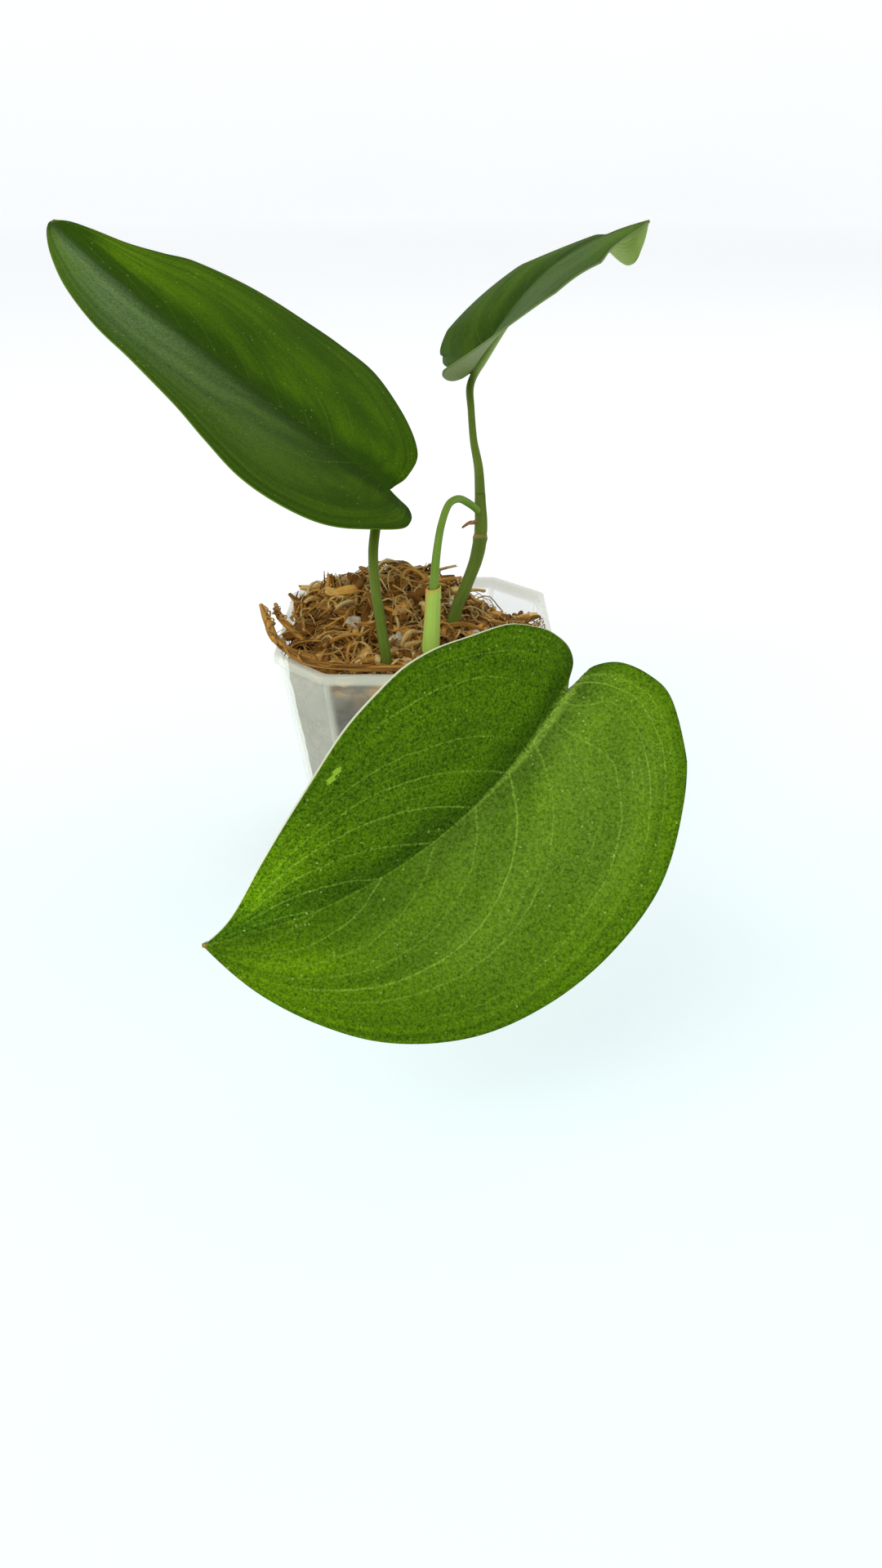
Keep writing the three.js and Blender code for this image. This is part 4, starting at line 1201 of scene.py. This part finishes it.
class OBJECT_OT_satin_leaves(bpy.types.Operator):
    """Add the three satin leaves with their stalks"""

    bl_idname = "object.satin_leaves"
    bl_label = "Satin leaves"

    def execute(self, context):
        settings = context.scene.plant.leaf
        stem = context.scene.plant.stem.stem
        stalk_skin = stem_material("stalk skin", stem, darker(stem, 0.65), rib_tint=settings.underside)
        makers = {"upper side": blade_material, "underside": underside_material, "edge": edge_material}
        for name, leaf in LEAVES.items():
            blade = add_blade(f"{name}_blade", leaf, settings)
            for side, make in makers.items():
                blade.data.materials.append(make(f"{name.replace('_', ' ')} {side}", settings, leaf))
            apply_modifier(blade, "SOLIDIFY", thickness=settings.thickness, offset=0, vertex_group="thick",
                           material_offset=1, material_offset_rim=2, use_even_offset=False)
            finished(blade, "leaf", name)
            finished(add_stalk(name, leaf, f"{name}_stalk"), "stem", name, stalk_skin)
        return {"FINISHED"}


# Stage

def pale_floor(settings):
    shader = Shader("pale floor", roughness=0.75, specular_ior_level=0.2, emission_strength=settings.glow)
    depth = shader.parts(shader.place(), 2)[1]
    # Painted shade: darker and bluer in front of the pot
    pale = shader.mix(settings.floor_front, settings.floor, depth.smooth(-0.2, 0.35))
    return shader.done(
        base_color=shader.brighten(pale, 0.985 + shader.noise(3, 2) * 0.03), emission_color=pale)


class OBJECT_OT_pale_stage(bpy.types.Operator):
    """Add the pale floor with its curved back, the lights and the camera"""

    bl_idname = "object.pale_stage"
    bl_label = "Pale stage"

    def execute(self, context):
        scene, settings = context.scene, context.scene.plant.stage
        floor, _ = added(bpy.ops.mesh.primitive_circle_add, "stage_floor",
                         vertices=96, radius=FLOOR_RADIUS, fill_type="NGON")
        bpy.ops.object.mode_set(mode="EDIT")
        bpy.ops.mesh.select_mode(type="EDGE")
        angles = np.radians(np.linspace(0, 90, CURVE_STEPS + 1)).tolist()
        for low, high in zip(angles, angles[1:]):
            before, after = (FLOOR_RADIUS + CURVE_RADIUS * math.sin(a) for a in (low, high))
            rise = CURVE_RADIUS * (math.cos(low) - math.cos(high))
            bpy.ops.mesh.select_all(action="SELECT")
            bpy.ops.mesh.region_to_loop()
            bpy.ops.mesh.extrude_edges_move(TRANSFORM_OT_translate={"value": (0, 0, rise)})
            bpy.ops.transform.resize(value=(after / before, after / before, 1))
        bpy.ops.object.mode_set(mode="OBJECT")
        floor.data.shade_smooth()
        floor.data.materials.append(pale_floor(settings))

        scene.world = scene.world or bpy.data.worlds.new("World")
        scene.world.use_nodes = True
        sky = scene.world.node_tree.nodes["Background"].inputs
        sky["Color"].default_value = SKY_TINT
        sky["Strength"].default_value = settings.sky
        camera = bpy.data.objects.new("camera", bpy.data.cameras.new("camera"))
        camera.data.sensor_fit = "VERTICAL"
        camera.data.sensor_height = 36
        camera.data.lens = CAMERA_LENS
        camera.location = CAMERA_PLACE * MM
        camera.rotation_euler = (math.radians(CAMERA_TILT), 0, 0)
        lamps = []
        for name, power, size, place in (("key_light", settings.key, KEY_SIZE, KEY_PLACE),
                                         ("fill_light", settings.fill, FILL_SIZE, FILL_PLACE)):
            lamp = bpy.data.objects.new(name, bpy.data.lights.new(name, "AREA"))
            lamp.data.energy, lamp.data.size, lamp.location = power, size, place
            lamp.rotation_euler = (LIGHTS_AIM - lamp.location).to_track_quat("-Z", "Y").to_euler()
            lamps.append(lamp)
        for item in (*lamps, camera):
            scene.collection.objects.link(item)
        scene.camera = camera
        scene.view_settings.view_transform = "Standard"
        return {"FINISHED"}


OPERATORS = (
    OBJECT_OT_clear_pot, OBJECT_OT_potting_mix, OBJECT_OT_perlite_grains, OBJECT_OT_vine_stem,
    OBJECT_OT_shoot_sheath, OBJECT_OT_aerial_root, OBJECT_OT_satin_leaves, OBJECT_OT_pale_stage,
)


class VIEW3D_PT_potted_plant(bpy.types.Panel):
    bl_label = "Potted plant"
    bl_idname = "VIEW3D_PT_potted_plant"
    bl_space_type = "VIEW_3D"
    bl_region_type = "UI"
    bl_category = "Potted plant"

    def draw(self, context):
        for operator in OPERATORS:
            self.layout.operator(operator.bl_idname)
        for part in PlantSettings.__annotations__:
            box = self.layout.box()
            group = getattr(context.scene.plant, part)
            for key in group.__annotations__:
                box.prop(group, key)


CLASSES = (
    PotSettings, MixSettings, LeafSettings, StemSettings, StageSettings, PlantSettings,
    *OPERATORS, VIEW3D_PT_potted_plant,
)


def register():
    for item in CLASSES:
        bpy.utils.register_class(item)
    bpy.types.Scene.plant = bpy.props.PointerProperty(type=PlantSettings)


def unregister():
    del bpy.types.Scene.plant
    for item in reversed(CLASSES):
        bpy.utils.unregister_class(item)


def main():
    register()
    bpy.ops.object.select_all(action="DESELECT")
    for operator in OPERATORS:
        group, name = operator.bl_idname.split(".")
        getattr(getattr(bpy.ops, group), name)()


if __name__ == "__main__":
    main()
